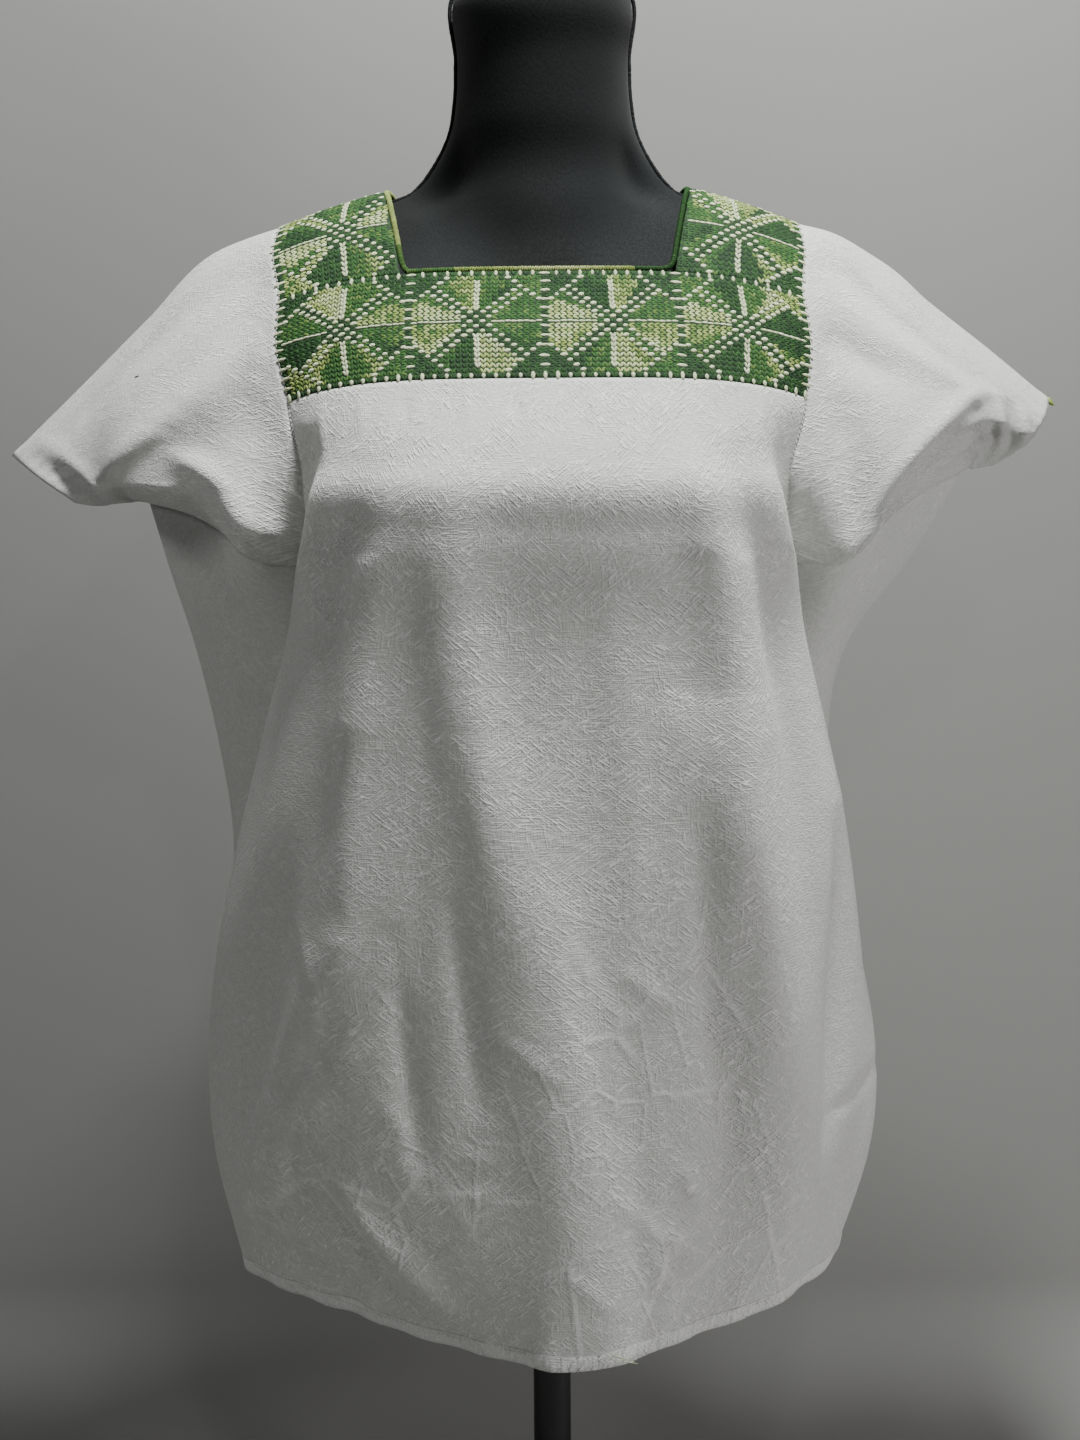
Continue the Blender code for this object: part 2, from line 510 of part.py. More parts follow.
def cylinder(name, radius, low, high, look, sides=32, bevel=0.0):
    """A round piece on the stand's axis, with eased rims."""
    bpy.ops.mesh.primitive_cylinder_add(
        vertices=sides, radius=radius, depth=high - low, location=(0, 0, (low + high) / 2))
    made = bpy.context.object
    made.name = made.data.name = name
    for collection in list(made.users_collection):
        collection.objects.unlink(made)
    bpy.data.collections["huipil_on_form"].objects.link(made)
    made.data.materials.append(material(look))
    if bevel:
        ease = made.modifiers.new("rims", "BEVEL")
        ease.width = bevel
        ease.segments = 1
    return made


def build_stand():
    underside = SHOULDER_HEIGHT + FORM_BOTTOM - CLEAR
    plate = underside - PLATE_THICKNESS
    collar = plate - 0.030
    boss = FOOT_THICKNESS + 0.026
    cylinder("form_plate", 0.085, plate, underside, BLACK_METAL, bevel=0.002)
    cylinder("pole_collar", 0.019, collar, plate - CLEAR, BLACK_METAL, sides=24, bevel=0.002)
    cylinder("pole", POLE_RADIUS, boss + CLEAR, collar - CLEAR, BLACK_METAL, sides=24)
    cylinder("foot_boss", 0.021, FOOT_THICKNESS + CLEAR, boss, BLACK_METAL, sides=24, bevel=0.003)
    cylinder("foot", FOOT_RADIUS, 0.0, FOOT_THICKNESS, BLACK_METAL, sides=48, bevel=0.002)


def main():
    for old in list(bpy.data.objects):
        bpy.data.objects.remove(old)
    bpy.context.scene.collection.children.link(bpy.data.collections.new("huipil_on_form"))
    build_yoke()
    build_panels()
    build_sleeve("sleeve_right", RIGHT_SLEEVE, -1)
    build_sleeve("sleeve_left", LEFT_SLEEVE, 1)
    build_gore("side_gore_right", RIGHT_SLEEVE, -1)
    build_gore("side_gore_left", LEFT_SLEEVE, 1)
    build_edging()
    build_form()
    build_welts()
    build_stand()


main()
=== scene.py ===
import math
from collections import namedtuple

import bpy
import numpy as np
from mathutils import Matrix, Vector


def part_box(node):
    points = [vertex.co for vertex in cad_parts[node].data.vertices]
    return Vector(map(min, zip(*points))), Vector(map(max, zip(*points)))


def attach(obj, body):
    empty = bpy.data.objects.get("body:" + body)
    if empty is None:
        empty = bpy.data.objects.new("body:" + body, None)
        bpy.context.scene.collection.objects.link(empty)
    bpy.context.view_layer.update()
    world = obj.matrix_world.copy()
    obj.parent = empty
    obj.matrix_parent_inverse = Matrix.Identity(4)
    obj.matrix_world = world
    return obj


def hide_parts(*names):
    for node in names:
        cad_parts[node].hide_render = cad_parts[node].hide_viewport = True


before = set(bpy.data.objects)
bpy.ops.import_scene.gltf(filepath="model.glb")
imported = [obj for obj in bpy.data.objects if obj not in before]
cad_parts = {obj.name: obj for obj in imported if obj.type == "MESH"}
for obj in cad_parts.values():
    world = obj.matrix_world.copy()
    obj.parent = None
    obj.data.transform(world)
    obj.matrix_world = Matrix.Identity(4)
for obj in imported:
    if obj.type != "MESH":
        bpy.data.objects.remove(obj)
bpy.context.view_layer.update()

bl_info = {
    "name": "Huipil blouse on a dress form",
    "version": (1, 0, 0),
    "blender": (4, 5, 0),
    "location": "View3D > Sidebar > Huipil",
    "description": "A white cotton blouse with a star-stitched square yoke, worn by a limbless dress form",
    "category": "Add Mesh",
}

SHOULDER_HEIGHT = 0.965      # the shoulder line above the floor
SHOULDER_Y = 0.010
SECTION_SAMPLES = 240        # points in half a section
# Distances along the cloth from the shoulder line, minus on the front.
FRONT_NECK, BACK_NECK = -0.088, 0.086
FRONT_YOKE, BACK_YOKE = -0.172, 0.170
FRONT_UNDERARM, BACK_UNDERARM = -0.288, 0.292
FRONT_HEM, BACK_HEM = -0.760, 0.758
NECK_HALF_WIDTH = 0.0840     # of the square neck, at its corners
NECK_FLARE = 0.0150          # how much wider it is at the shoulder line
NECK_SHIFT = -0.0040         # the neck's middle, towards the wearer's right
HALF_YOKE = 0.176            # flat half width of the yoke, two star blocks
HALF_HEM = 0.250             # flat half width of a centre panel
SLEEVE_LENGTH = 0.195        # from the armhole to the cuff, on the fold

# Share of a side gore's length over which it leaves the sleeve's underarm for its own hang.
SETTLE_RIGHT, SETTLE_LEFT = 0.16, 0.26

Section = namedtuple(
    "Section", "run z_mid z_minus z_plus bow y_mid minus plus depth turn square_minus square_plus")
# One row for each section of the centre of the blouse, from the front hem over the shoulder to the back hem.
# run: distance along the cloth; z_mid, z_minus, z_plus: height at the middle and at the two side seams;
# bow: how late the height changes; y_mid: depth at the middle; minus, plus: half widths towards -X and +X;
# depth: how far the sides lie behind the middle; turn: how far the section turns, in degrees;
# square_minus, square_plus: 1 for an ellipse, less for fuller corners, more for slimmer ones.
TRUNK = [Section(*row) for row in (
    (-0.760, -0.710, -0.706, -0.688, 1.5, -0.175, 0.205, 0.192, 0.155, 92, 1.70, 1.30),
    (-0.680, -0.632, -0.624, -0.612, 1.6, -0.172, 0.222, 0.208, 0.154, 95, 1.12, 1.16),
    (-0.560, -0.507, -0.501, -0.495, 2, -0.169, 0.218, 0.204, 0.143, 97, 0.90, 0.98),
    (-0.470, -0.415, -0.408, -0.408, 2, -0.166, 0.194, 0.189, 0.129, 98, 0.73, 0.80),
    (-0.390, -0.334, -0.330, -0.330, 2, -0.163, 0.170, 0.167, 0.113, 98, 0.68, 0.68),
    (-0.320, -0.263, -0.265, -0.265, 2, -0.161, 0.152, 0.151, 0.101, 94, 0.66, 0.66),
    (-0.268, -0.210, -0.216, -0.216, 3, -0.164, 0.149, 0.149, 0.100, 88, 0.70, 0.70),
    (-0.240, -0.181, -0.193, -0.193, 4, -0.163, 0.151, 0.151, 0.104, 81, 0.74, 0.74),
    (-0.222, -0.165, -0.178, -0.178, 4, -0.153, 0.155, 0.155, 0.103, 73, 0.80, 0.80),
    (-0.172, -0.120, -0.133, -0.133, 4, -0.115, 0.183, 0.186, 0.092, 56, 0.84, 0.84),
    (-0.130, -0.086, -0.100, -0.100, 4, -0.091, 0.210, 0.208, 0.075, 50, 0.92, 0.92),
    (-0.088, -0.055, -0.071, -0.071, 4, -0.066, 0.232, 0.226, 0.056, 45, 1.00, 1.00),
    (-0.040, -0.016, -0.040, -0.040, 3, -0.028, 0.250, 0.240, 0.030, 43, 1.00, 1.00),
    (0.000, 0.012, -0.022, -0.022, 2, 0.010, 0.262, 0.252, 0.000, 40, 1.00, 1.00),
    (0.040, -0.004, -0.034, -0.034, 3, 0.046, 0.252, 0.242, -0.022, 43, 1.00, 1.00),
    (0.086, -0.030, -0.058, -0.058, 4, 0.085, 0.238, 0.232, -0.052, 46, 1.00, 1.00),
    (0.130, -0.068, -0.090, -0.090, 4, 0.108, 0.222, 0.218, -0.074, 50, 1.00, 1.00),
    (0.170, -0.108, -0.126, -0.126, 4, 0.120, 0.204, 0.204, -0.086, 56, 1.00, 1.00),
    (0.230, -0.166, -0.180, -0.180, 3, 0.131, 0.180, 0.180, -0.090, 68, 0.92, 0.92),
    (0.292, -0.228, -0.232, -0.232, 3, 0.134, 0.170, 0.170, -0.084, 80, 0.86, 0.86),
    (0.370, -0.306, -0.306, -0.306, 2, 0.136, 0.176, 0.172, -0.082, 84, 0.84, 0.84),
    (0.460, -0.396, -0.394, -0.394, 2, 0.142, 0.186, 0.180, -0.086, 86, 0.84, 0.84),
    (0.560, -0.496, -0.494, -0.494, 2, 0.152, 0.200, 0.188, -0.092, 88, 0.86, 0.86),
    (0.670, -0.607, -0.604, -0.604, 2, 0.159, 0.204, 0.192, -0.096, 88, 0.88, 0.88),
    (0.758, -0.695, -0.690, -0.690, 2, 0.160, 0.192, 0.184, -0.094, 88, 0.90, 0.90),
)]

Fold = namedtuple("Fold", "begin end u_begin u_end width height")
# One row for each fold of the centre panels: where it begins and ends along the cloth, where it lies across
# the half panel there (-1 the wearer's right seam, 1 the left seam), its half width, and its height, minus
# for a trough. A fold that ends past the hem runs out through it.
FOLDS = [Fold(*row) for row in (
    (-0.215, -0.560, -0.82, -0.86, 0.020, 0.0070),
    (-0.190, -0.400, -0.92, -0.94, 0.014, -0.0080),
    (-0.215, -0.520, -0.63, -0.45, 0.018, -0.0085),
    (-0.380, -0.780, -0.46, -0.80, 0.026, -0.0100),
    (-0.230, -0.640, -0.50, -0.37, 0.018, 0.0065),
    (-0.560, -0.800, -0.36, -0.95, 0.018, 0.0035),
    (-0.620, -0.820, -0.46, -0.66, 0.020, -0.0035),
    (-0.420, -0.700, -0.27, -0.22, 0.010, -0.0016),
    (-0.215, -0.540, -0.34, -0.02, 0.024, 0.0075),
    (-0.380, -0.960, -0.10, 0.20, 0.030, 0.0105),
    (-0.300, -0.620, 0.19, 0.15, 0.014, 0.0024),
    (-0.380, -0.740, 0.29, 0.40, 0.014, -0.0040),
    (-0.210, -0.520, 0.52, 0.37, 0.017, 0.0090),
    (-0.360, -0.800, 0.37, 0.62, 0.030, 0.0125),
    (-0.205, -0.560, 0.67, 0.53, 0.017, -0.0095),
    (-0.215, -0.540, 0.82, 0.80, 0.018, 0.0065),
    (-0.185, -0.380, 0.92, 0.94, 0.014, -0.0080),
    (-0.440, -0.690, 0.75, 0.66, 0.018, -0.0100),
    (-0.560, -0.800, 0.94, 0.82, 0.018, 0.0060),
    (-0.600, -0.900, 0.42, 0.38, 0.030, -0.0045),
    (0.230, 0.900, -0.72, -0.66, 0.026, 0.0085),
    (0.260, 0.900, -0.50, -0.44, 0.024, -0.0070),
    (0.250, 0.700, -0.24, -0.20, 0.026, 0.0060),
    (0.300, 0.900, 0.02, 0.05, 0.026, -0.0070),
    (0.240, 0.900, 0.30, 0.27, 0.028, 0.0085),
    (0.260, 0.800, 0.54, 0.50, 0.024, -0.0070),
    (0.240, 0.900, 0.78, 0.72, 0.024, 0.0075),
)]

Station = namedtuple("Station", "share top_x top_y top_z low_x low_front low_back low_z ease front back "
                     "peak_front peak_back sag")
# One row for each ring of a sleeve after the armhole: share of the sleeve's length, the fold on the shoulder
# line, the low edge (its depth at the front and at the back), how rounded the fold is, how far the front and
# the back swell, how far down the ring each swells most (0 the fold, 1 the low edge), and how far the back
# sags.
RIGHT_SLEEVE = [Station(*row) for row in (
    (0.08, -0.1860, 0.010, -0.0275, -0.181, -0.066, 0.066, -0.230, 1.35, 0.038, 0.040, 0.90, 0.45, 0.000),
    (0.18, -0.2090, 0.010, -0.0365, -0.206, -0.040, 0.047, -0.213, 1.20, 0.052, 0.050, 0.88, 0.50, 0.000),
    (0.46, -0.2560, 0.009, -0.0800, -0.256, 0.000, 0.000, -0.1965, 1.10, 0.076, 0.076, 0.88, 0.55, 0.002),
    (0.74, -0.3020, 0.004, -0.1250, -0.270, 0.002, 0.002, -0.1960, 1.10, 0.066, 0.076, 0.88, 0.52, 0.006),
    (1.00, -0.3440, 0.000, -0.1650, -0.286, 0.004, 0.004, -0.1975, 1.10, 0.058, 0.074, 0.86, 0.46, 0.010),
)]
LEFT_SLEEVE = [Station(*row) for row in (
    (0.08, 0.1840, 0.011, -0.0275, 0.180, -0.088, 0.068, -0.232, 1.35, 0.022, 0.040, 0.70, 0.45, 0.000),
    (0.20, 0.2130, 0.012, -0.0435, 0.210, -0.088, 0.050, -0.204, 1.20, 0.022, 0.052, 0.66, 0.50, 0.000),
    (0.48, 0.2500, 0.018, -0.0725, 0.260, -0.046, 0.014, -0.1790, 1.10, 0.040, 0.074, 0.66, 0.55, 0.001),
    (0.76, 0.2920, 0.024, -0.1040, 0.274, -0.012, 0.006, -0.1780, 1.10, 0.052, 0.076, 0.60, 0.50, 0.003),
    (1.00, 0.3300, 0.030, -0.1340, 0.291, 0.008, 0.014, -0.1760, 1.10, 0.050, 0.070, 0.56, 0.46, 0.006),
)]

Wing = namedtuple("Wing", "share minus plus y z")
# One row for each height of the side gores: share of the way from underarm to hem, how far out the gore's
# middle stands towards -X and +X, its depth and its height.
WINGS = [Wing(*row) for row in (
    (0.00, 0.2560, 0.2580, 0.002, -0.1965),
    (0.08, 0.2460, 0.2360, 0.008, -0.238),
    (0.20, 0.2320, 0.1990, 0.016, -0.290),
    (0.35, 0.2180, 0.1850, 0.024, -0.360),
    (0.50, 0.2080, 0.1890, 0.030, -0.432),
    (0.68, 0.2130, 0.2010, 0.036, -0.522),
    (0.84, 0.2180, 0.2080, 0.040, -0.608),
    (1.00, 0.2030, 0.1960, 0.042, -0.689),
)]

Girth = namedtuple("Girth", "z half_width front back pointed neck")
# One row for each level of the dress form: half width, depth in front of and behind SHOULDER_Y, the exponent
# of its outline, 2 for an ellipse and less for pointed sides, and the radius of the neck that stands in it.
FORM = [Girth(*row) for row in (
    (-0.640, 0.150, 0.112, 0.098, 2.3, 0),
    (-0.632, 0.160, 0.122, 0.106, 2.3, 0),
    (-0.600, 0.169, 0.130, 0.116, 2.3, 0),
    (-0.540, 0.176, 0.132, 0.124, 2.3, 0),
    (-0.460, 0.160, 0.124, 0.112, 2.2, 0),
    (-0.380, 0.126, 0.106, 0.086, 2.1, 0),
    (-0.310, 0.126, 0.110, 0.088, 2.1, 0),
    (-0.255, 0.133, 0.120, 0.098, 2.1, 0),
    (-0.205, 0.139, 0.132, 0.106, 2.1, 0),
    (-0.160, 0.143, 0.130, 0.108, 2.1, 0),
    (-0.120, 0.152, 0.118, 0.102, 2.0, 0),
    (-0.086, 0.176, 0.094, 0.092, 1.9, 0),
    (-0.066, 0.196, 0.077, 0.078, 1.8, 0),
    (-0.054, 0.204, 0.066, 0.070, 1.7, 0.060),
    (-0.0466, 0.202, 0.058, 0.064, 1.6, 0.062),
    (-0.0368, 0.184, 0.050, 0.058, 1.5, 0.061),
    (-0.0264, 0.156, 0.042, 0.052, 1.5, 0.060),
    (-0.0156, 0.126, 0.034, 0.046, 1.4, 0.059),
    (-0.0080, 0.0996, 0.024, 0.036, 1.4, 0.058),
    (-0.0035, 0.0866, 0.022, 0.030, 1.4, 0.057),
    (0.003, 0.0785, 0.024, 0.026, 1.5, 0.055),
    (0.014, 0.0700, 0.031, 0.031, 1.6, 0.0535),
    (0.034, 0.0595, 0.045, 0.045, 2.0, 0.0520),
    (0.056, 0.0555, 0.046, 0.046, 2.0, 0.0520),
    (0.080, 0.0545, 0.046, 0.046, 2.0, 0.0520),
    (0.122, 0.0550, 0.046, 0.046, 2.0, 0.0520),
    (0.128, 0.0515, 0.043, 0.043, 2.0, 0.0485),
)]
BUST_APART, BUST_Z, BUST_SPREAD, BUST_HEIGHT = 0.082, -0.205, 0.048, 0.014

Ridge = namedtuple("Ridge", "share_begin run_begin share_end run_end width height")
# One row for each larger fold of a sleeve: its two ends, each as share of the length and run round the
# armhole, its half width, and how far it stands forward (over the front) or back (over the back); minus for
# a trough.
RIGHT_RIDGES = [Ridge(*row) for row in (
    (0.04, -0.062, 0.78, -0.082, 0.022, -0.0045),
    (0.00, -0.118, 0.34, -0.188, 0.020, 0.0060),
    (0.24, -0.176, 0.74, -0.236, 0.021, 0.0055),
    (0.00, -0.172, 0.22, -0.232, 0.018, -0.0040),
    (0.26, -0.224, 0.13, -0.244, 0.009, 0.0040),
    (0.12, -0.246, 0.03, -0.286, 0.009, 0.0040),
    (0.28, -0.254, 0.14, -0.288, 0.014, -0.0075),
    (0.92, -0.020, 0.79, -0.240, 0.008, 0.0030),
    (0.97, -0.060, 0.89, -0.255, 0.010, -0.0024),
    (0.20, 0.120, 0.40, 0.280, 0.022, 0.0090),
    (0.60, 0.080, 0.95, 0.240, 0.020, -0.0060),
)]
LEFT_RIDGES = [Ridge(*row) for row in (
    (0.03, -0.185, 0.05, -0.282, 0.006, 0.0050),
    (0.08, -0.185, 0.12, -0.284, 0.009, -0.0070),
    (0.02, -0.050, 0.52, -0.128, 0.013, -0.0045),
    (0.06, -0.094, 0.58, -0.162, 0.015, 0.0035),
    (0.00, -0.122, 0.22, -0.160, 0.012, -0.0045),
    (0.72, -0.118, 0.13, -0.276, 0.011, 0.0065),
    (0.80, -0.190, 0.34, -0.278, 0.012, -0.0060),
    (0.75, -0.125, 0.87, -0.268, 0.008, 0.0065),
    (0.82, -0.120, 0.94, -0.250, 0.007, -0.0060),
    (0.90, -0.110, 0.99, -0.215, 0.007, 0.0040),
    (0.20, 0.120, 0.36, 0.285, 0.020, 0.0090),
    (0.55, 0.080, 0.96, 0.230, 0.020, -0.0060),
)]

Crease = namedtuple("Crease", "x_begin y_begin x_end y_end height width", defaults=(0.0040,))
# One row for each smaller crease: its two ends in the flat cloth, x from the middle towards the wearer's left
# and y along the cloth from the shoulder line, minus on the front; its height, minus for a trough; and its
# half width where that isn't the usual one.
FRONT_CREASES = [Crease(*row) for row in (
    (-0.150, -0.182, -0.146, -0.214, 0.0013),
    (-0.120, -0.180, -0.118, -0.205, 0.0010),
    (-0.088, -0.181, -0.090, -0.200, -0.0010),
    (-0.050, -0.180, -0.049, -0.202, 0.0011),
    (-0.018, -0.181, -0.020, -0.196, -0.0010),
    (0.030, -0.180, 0.031, -0.200, 0.0011),
    (0.072, -0.181, 0.070, -0.203, 0.0010),
    (0.110, -0.180, 0.112, -0.206, -0.0011),
    (0.140, -0.182, 0.138, -0.214, 0.0014),
    (-0.060, -0.290, -0.050, -0.420, -0.0013, 0.0070),
    (-0.032, -0.330, -0.022, -0.500, 0.0014, 0.0080),
    (0.020, -0.300, 0.012, -0.430, -0.0012, 0.0070),
    (0.052, -0.350, 0.060, -0.520, 0.0013, 0.0075),
    (-0.096, -0.360, -0.088, -0.500, -0.0010, 0.0060),
    (-0.063, -0.500, -0.058, -0.650, -0.0020),
    (-0.039, -0.480, -0.031, -0.605, -0.0022),
    (0.000, -0.480, 0.018, -0.640, 0.0012, 0.0070),
    (0.036, -0.560, 0.046, -0.720, -0.0014, 0.0060),
    (0.082, -0.460, 0.092, -0.640, -0.0016, 0.0060),
    (0.150, -0.500, 0.156, -0.650, -0.0022, 0.0050),
    (0.156, -0.640, 0.214, -0.625, -0.0016, 0.0060),
    (-0.090, -0.510, -0.138, -0.624, 0.0040, 0.0100),
    (-0.138, -0.620, -0.182, -0.682, 0.0056, 0.0100),
    (-0.124, -0.636, -0.096, -0.728, -0.0080, 0.0120),
    (-0.106, -0.652, -0.066, -0.728, 0.0078, 0.0105),
    (-0.150, -0.674, -0.197, -0.706, 0.0078, 0.0085),
    (-0.160, -0.724, -0.130, -0.752, -0.0040, 0.0120),
    (-0.062, -0.536, -0.058, -0.632, -0.0030, 0.0060),
    (-0.036, -0.500, -0.028, -0.600, -0.0028, 0.0060),
    (-0.160, -0.560, -0.190, -0.640, -0.0030, 0.0140),
    (-0.108, -0.500, -0.098, -0.540, 0.0015),
    (-0.098, -0.535, -0.103, -0.575, 0.0014),
    (-0.103, -0.570, -0.094, -0.600, -0.0013),
    (-0.106, -0.590, -0.124, -0.622, 0.0016),
    (-0.112, -0.618, -0.130, -0.650, -0.0014),
    (-0.140, -0.668, -0.182, -0.708, 0.0018),
    (-0.122, -0.650, -0.110, -0.690, 0.0011),
    (-0.044, -0.627, -0.026, -0.633, 0.0008),
    (-0.045, -0.656, -0.024, -0.652, 0.0009),
    (-0.041, -0.673, -0.018, -0.656, 0.0009),
    (-0.098, -0.658, -0.074, -0.662, 0.0008),
    (-0.092, -0.676, -0.066, -0.700, 0.0011),
    (-0.058, -0.693, -0.024, -0.679, 0.0009),
    (-0.075, -0.600, -0.062, -0.624, 0.0009),
    (0.024, -0.650, 0.080, -0.706, 0.0008),
    (0.047, -0.676, 0.060, -0.718, 0.0011),
    (0.062, -0.640, 0.076, -0.668, 0.0009),
    (0.020, -0.600, 0.034, -0.622, -0.0008),
    (-0.020, -0.560, 0.006, -0.586, 0.0008),
    (0.030, -0.520, 0.052, -0.545, 0.0009),
    (0.010, -0.700, 0.030, -0.725, 0.0009),
)]
BACK_CREASES = [Crease(*row) for row in (
    (-0.140, 0.180, -0.136, 0.216, 0.0011, 0.0022),
    (-0.095, 0.180, -0.097, 0.205, -0.0010, 0.0022),
    (-0.045, 0.180, -0.044, 0.210, 0.0011, 0.0024),
    (0.012, 0.180, 0.010, 0.202, -0.0009, 0.0020),
    (0.060, 0.180, 0.062, 0.208, 0.0010, 0.0022),
    (0.118, 0.180, 0.116, 0.214, -0.0011, 0.0024),
    (-0.080, 0.360, -0.070, 0.560, 0.0026, 0.0080),
    (-0.020, 0.420, -0.030, 0.640, -0.0024, 0.0080),
    (0.050, 0.380, 0.056, 0.600, 0.0026, 0.0080),
    (0.110, 0.440, 0.100, 0.700, -0.0024, 0.0070),
    (-0.130, 0.480, -0.120, 0.700, 0.0024, 0.0070),
    (-0.050, 0.660, 0.010, 0.690, 0.0014, 0.0036),
    (0.040, 0.620, 0.090, 0.600, -0.0014, 0.0036),
)]

# Exponents of the swell of a fold along its length: 1 and 1 would be an even sine.
FOLD_LEAN = 0.8
FOLD_SLOWNESS = 1.2
# Exponents of a sleeve ring's swell, away from the fold and back to the low edge.
RING_RISE = 0.85
RING_FALL = 1.2
SEAM_HOLD = 0.06             # share of a sleeve's length that its seam keeps plain
# A ridge's or crease's height at its ends, as a share of its full height, and how soon it gets there.
BUMP_END = 0.25
BUMP_FULLNESS = 0.6
# The turned hem: how proud its double layer stands, and its stitch line's place, sink and reach.
HEM_PROUD = 0.00045
HEM_STITCH_LINE = 0.85       # share of the hem's width
HEM_STITCH_SINK = 0.00055
HEM_STITCH_REACH = 0.0012
HEM_END_CELLS = 4            # mesh cells over which the waves die away at the seams
HEM_FADE = 3.0               # how far up the waves reach, in hem widths
HEM_RIPPLE = 0.8             # share of the waves that is regular; the rest wanders
TINY = 1e-12                 # keeps a division from failing where a length is nothing


def length(label, description, default, low, high, digits=4):
    """A size in metres that a user may change."""
    return bpy.props.FloatProperty(name=label, description=description, default=default, min=low, max=high,
                                   precision=digits, unit="LENGTH")


def colour(label, description, default):
    """A colour that a user may change."""
    return bpy.props.FloatVectorProperty(name=label, description=description, default=default,
                                         subtype="COLOR", size=3, min=0, max=1)


class BlouseSettings(bpy.types.PropertyGroup):
    """Sizes and colours of the blouse."""
    cloth_thickness: length("Cotton thickness", "Thickness of the white cotton", 0.0006, 0.0003, 0.0020)
    cloth_cell: length("Cloth cell", "Size of a mesh cell of the cotton", 0.0030, 0.0020, 0.0100)
    hem_width: length("Hem width", "Width of the turned hem", 0.0090, 0.0040, 0.0200)
    pucker: length("Hem pucker", "How far the hem waves between its stitches", 0.0010, 0.0, 0.0030)
    crinkle_depth: length("Crinkle depth", "Depth of the slubs and crinkles in the cotton",
                          0.00050, 0.0, 0.0020, digits=5)
    cotton: colour("Cotton", "Colour of the cotton", (0.80, 0.81, 0.79))


class ThreadSettings(bpy.types.PropertyGroup):
    """Sizes and colours of the yoke's thread."""
    relief: length("Stitch relief", "How far the stitches stand off the yoke", 0.0009, 0.0004, 0.0020)
    dark: colour("Dark green", "Darkest shade of the thread", (0.009, 0.042, 0.012))
    middle: colour("Middle green", "Middle shade of the thread", (0.044, 0.150, 0.028))
    lime: colour("Yellow green", "Light green shade of the thread", (0.330, 0.430, 0.105))
    cream: colour("Cream", "Lightest shade of the thread", (0.600, 0.670, 0.290))
    white: colour("White", "Colour of the white thread", (0.80, 0.87, 0.62))


class FormSettings(bpy.types.PropertyGroup):
    """Sizes and colours of the dress form and its stand."""
    welt_radius: length("Welt radius", "Half thickness of the corded seam", 0.0016, 0.0010, 0.0030)
    jersey: colour("Jersey", "Colour of the form's cover", (0.0065, 0.0076, 0.0090))
    metal: colour("Stand", "Colour of the painted stand", (0.008, 0.008, 0.009))


# ---- curves and surfaces ---------------------------------------------------------------------------------

def along_table(points, keys, values):
    """Points between given ones, by a smooth curve through them all. The first axis is the curve's."""
    slopes = np.gradient(points, keys, axis=0)
    found = []
    for value in values:
        i = int(np.clip(np.searchsorted(keys, value) - 1, 0, len(keys) - 2))
        span = keys[i + 1] - keys[i]
        t = min(max((value - keys[i]) / span, 0.0), 1.0)
        across = points[i] * (1 + 2 * t) * (1 - t) ** 2 + points[i + 1] * t * t * (3 - 2 * t)
        leaning = slopes[i] * t * (1 - t) ** 2 - slopes[i + 1] * t * t * (1 - t)
        found.append(across + leaning * span)
    return np.array(found)


def read(table, key, value):
    """The row for that value of the key, between the table's own rows."""
    keys = np.array([getattr(row, key) for row in table])
    return type(table[0])(*along_table(np.array(table, float), keys, [value])[0])


def spaced(marks, cell):
    """Values from mark to mark, about a cell apart."""
    found = [marks[0]]
    for low, high in zip(marks, marks[1:]):
        count = max(1, round(abs(high - low) / cell))
        found += [low + (high - low) * (i + 1) / count for i in range(count)]
    return np.array(found)


def distances(line):
    """How far each point of a line lies along it."""
    return np.concatenate([[0], np.cumsum(np.linalg.norm(np.diff(line, axis=0), axis=1))])


def point_at(distance, along, line):
    """The point of a line at a distance along it."""
    return np.array([np.interp(distance, along, line[:, k]) for k in range(3)])


def unit(vectors):
    """Vectors of length 1, one in each row."""
    return vectors / np.linalg.norm(vectors, axis=-1, keepdims=True)


def smooth_step(low, high, value):
    """0 below low, 1 above high, and a smooth rise between them."""
    t = np.clip((value - low) / (high - low), 0, 1)
    return t * t * (3 - 2 * t)


def bump_along(x, y, begin, end, width):
    """1 on the line between two points and falling off round it, with ends that fade."""
    step = end - begin
    t = ((x - begin[0]) * step[0] + (y - begin[1]) * step[1]) / (step @ step)
    near = np.clip(t, 0, 1)
    away = np.hypot(x - begin[0] - near * step[0], y - begin[1] - near * step[1]) / width
    middle = np.sin(math.pi * np.clip(near, 0.02, 0.98)) ** BUMP_FULLNESS
    return np.exp(-away * away) * (BUMP_END + (1 - BUMP_END) * middle)


def grid_normals(grid):
    """Unit normals of a grid of points, by its own directions."""
    normals = np.cross(np.gradient(grid, axis=1), np.gradient(grid, axis=0))
    return normals / (np.linalg.norm(normals, axis=-1, keepdims=True) + TINY)


# ---- the cloth's form ------------------------------------------------------------------------------------

def half_section(row, side):
    """Points of one half of a section from the middle to the seam, and the distance along it of each."""
    half_width, square = (row.plus, row.square_plus) if side > 0 else (row.minus, row.square_minus)
    turn = math.radians(row.turn) * np.linspace(0, 1, SECTION_SAMPLES) ** (1 / square)
    x = half_width * np.sin(turn) ** square
    y = row.y_mid + row.depth * (1 - np.sign(np.cos(turn)) * np.abs(np.cos(turn)) ** square)
    along = np.concatenate([[0], np.cumsum(np.hypot(np.diff(x), np.diff(y)))])
    return x, y, along


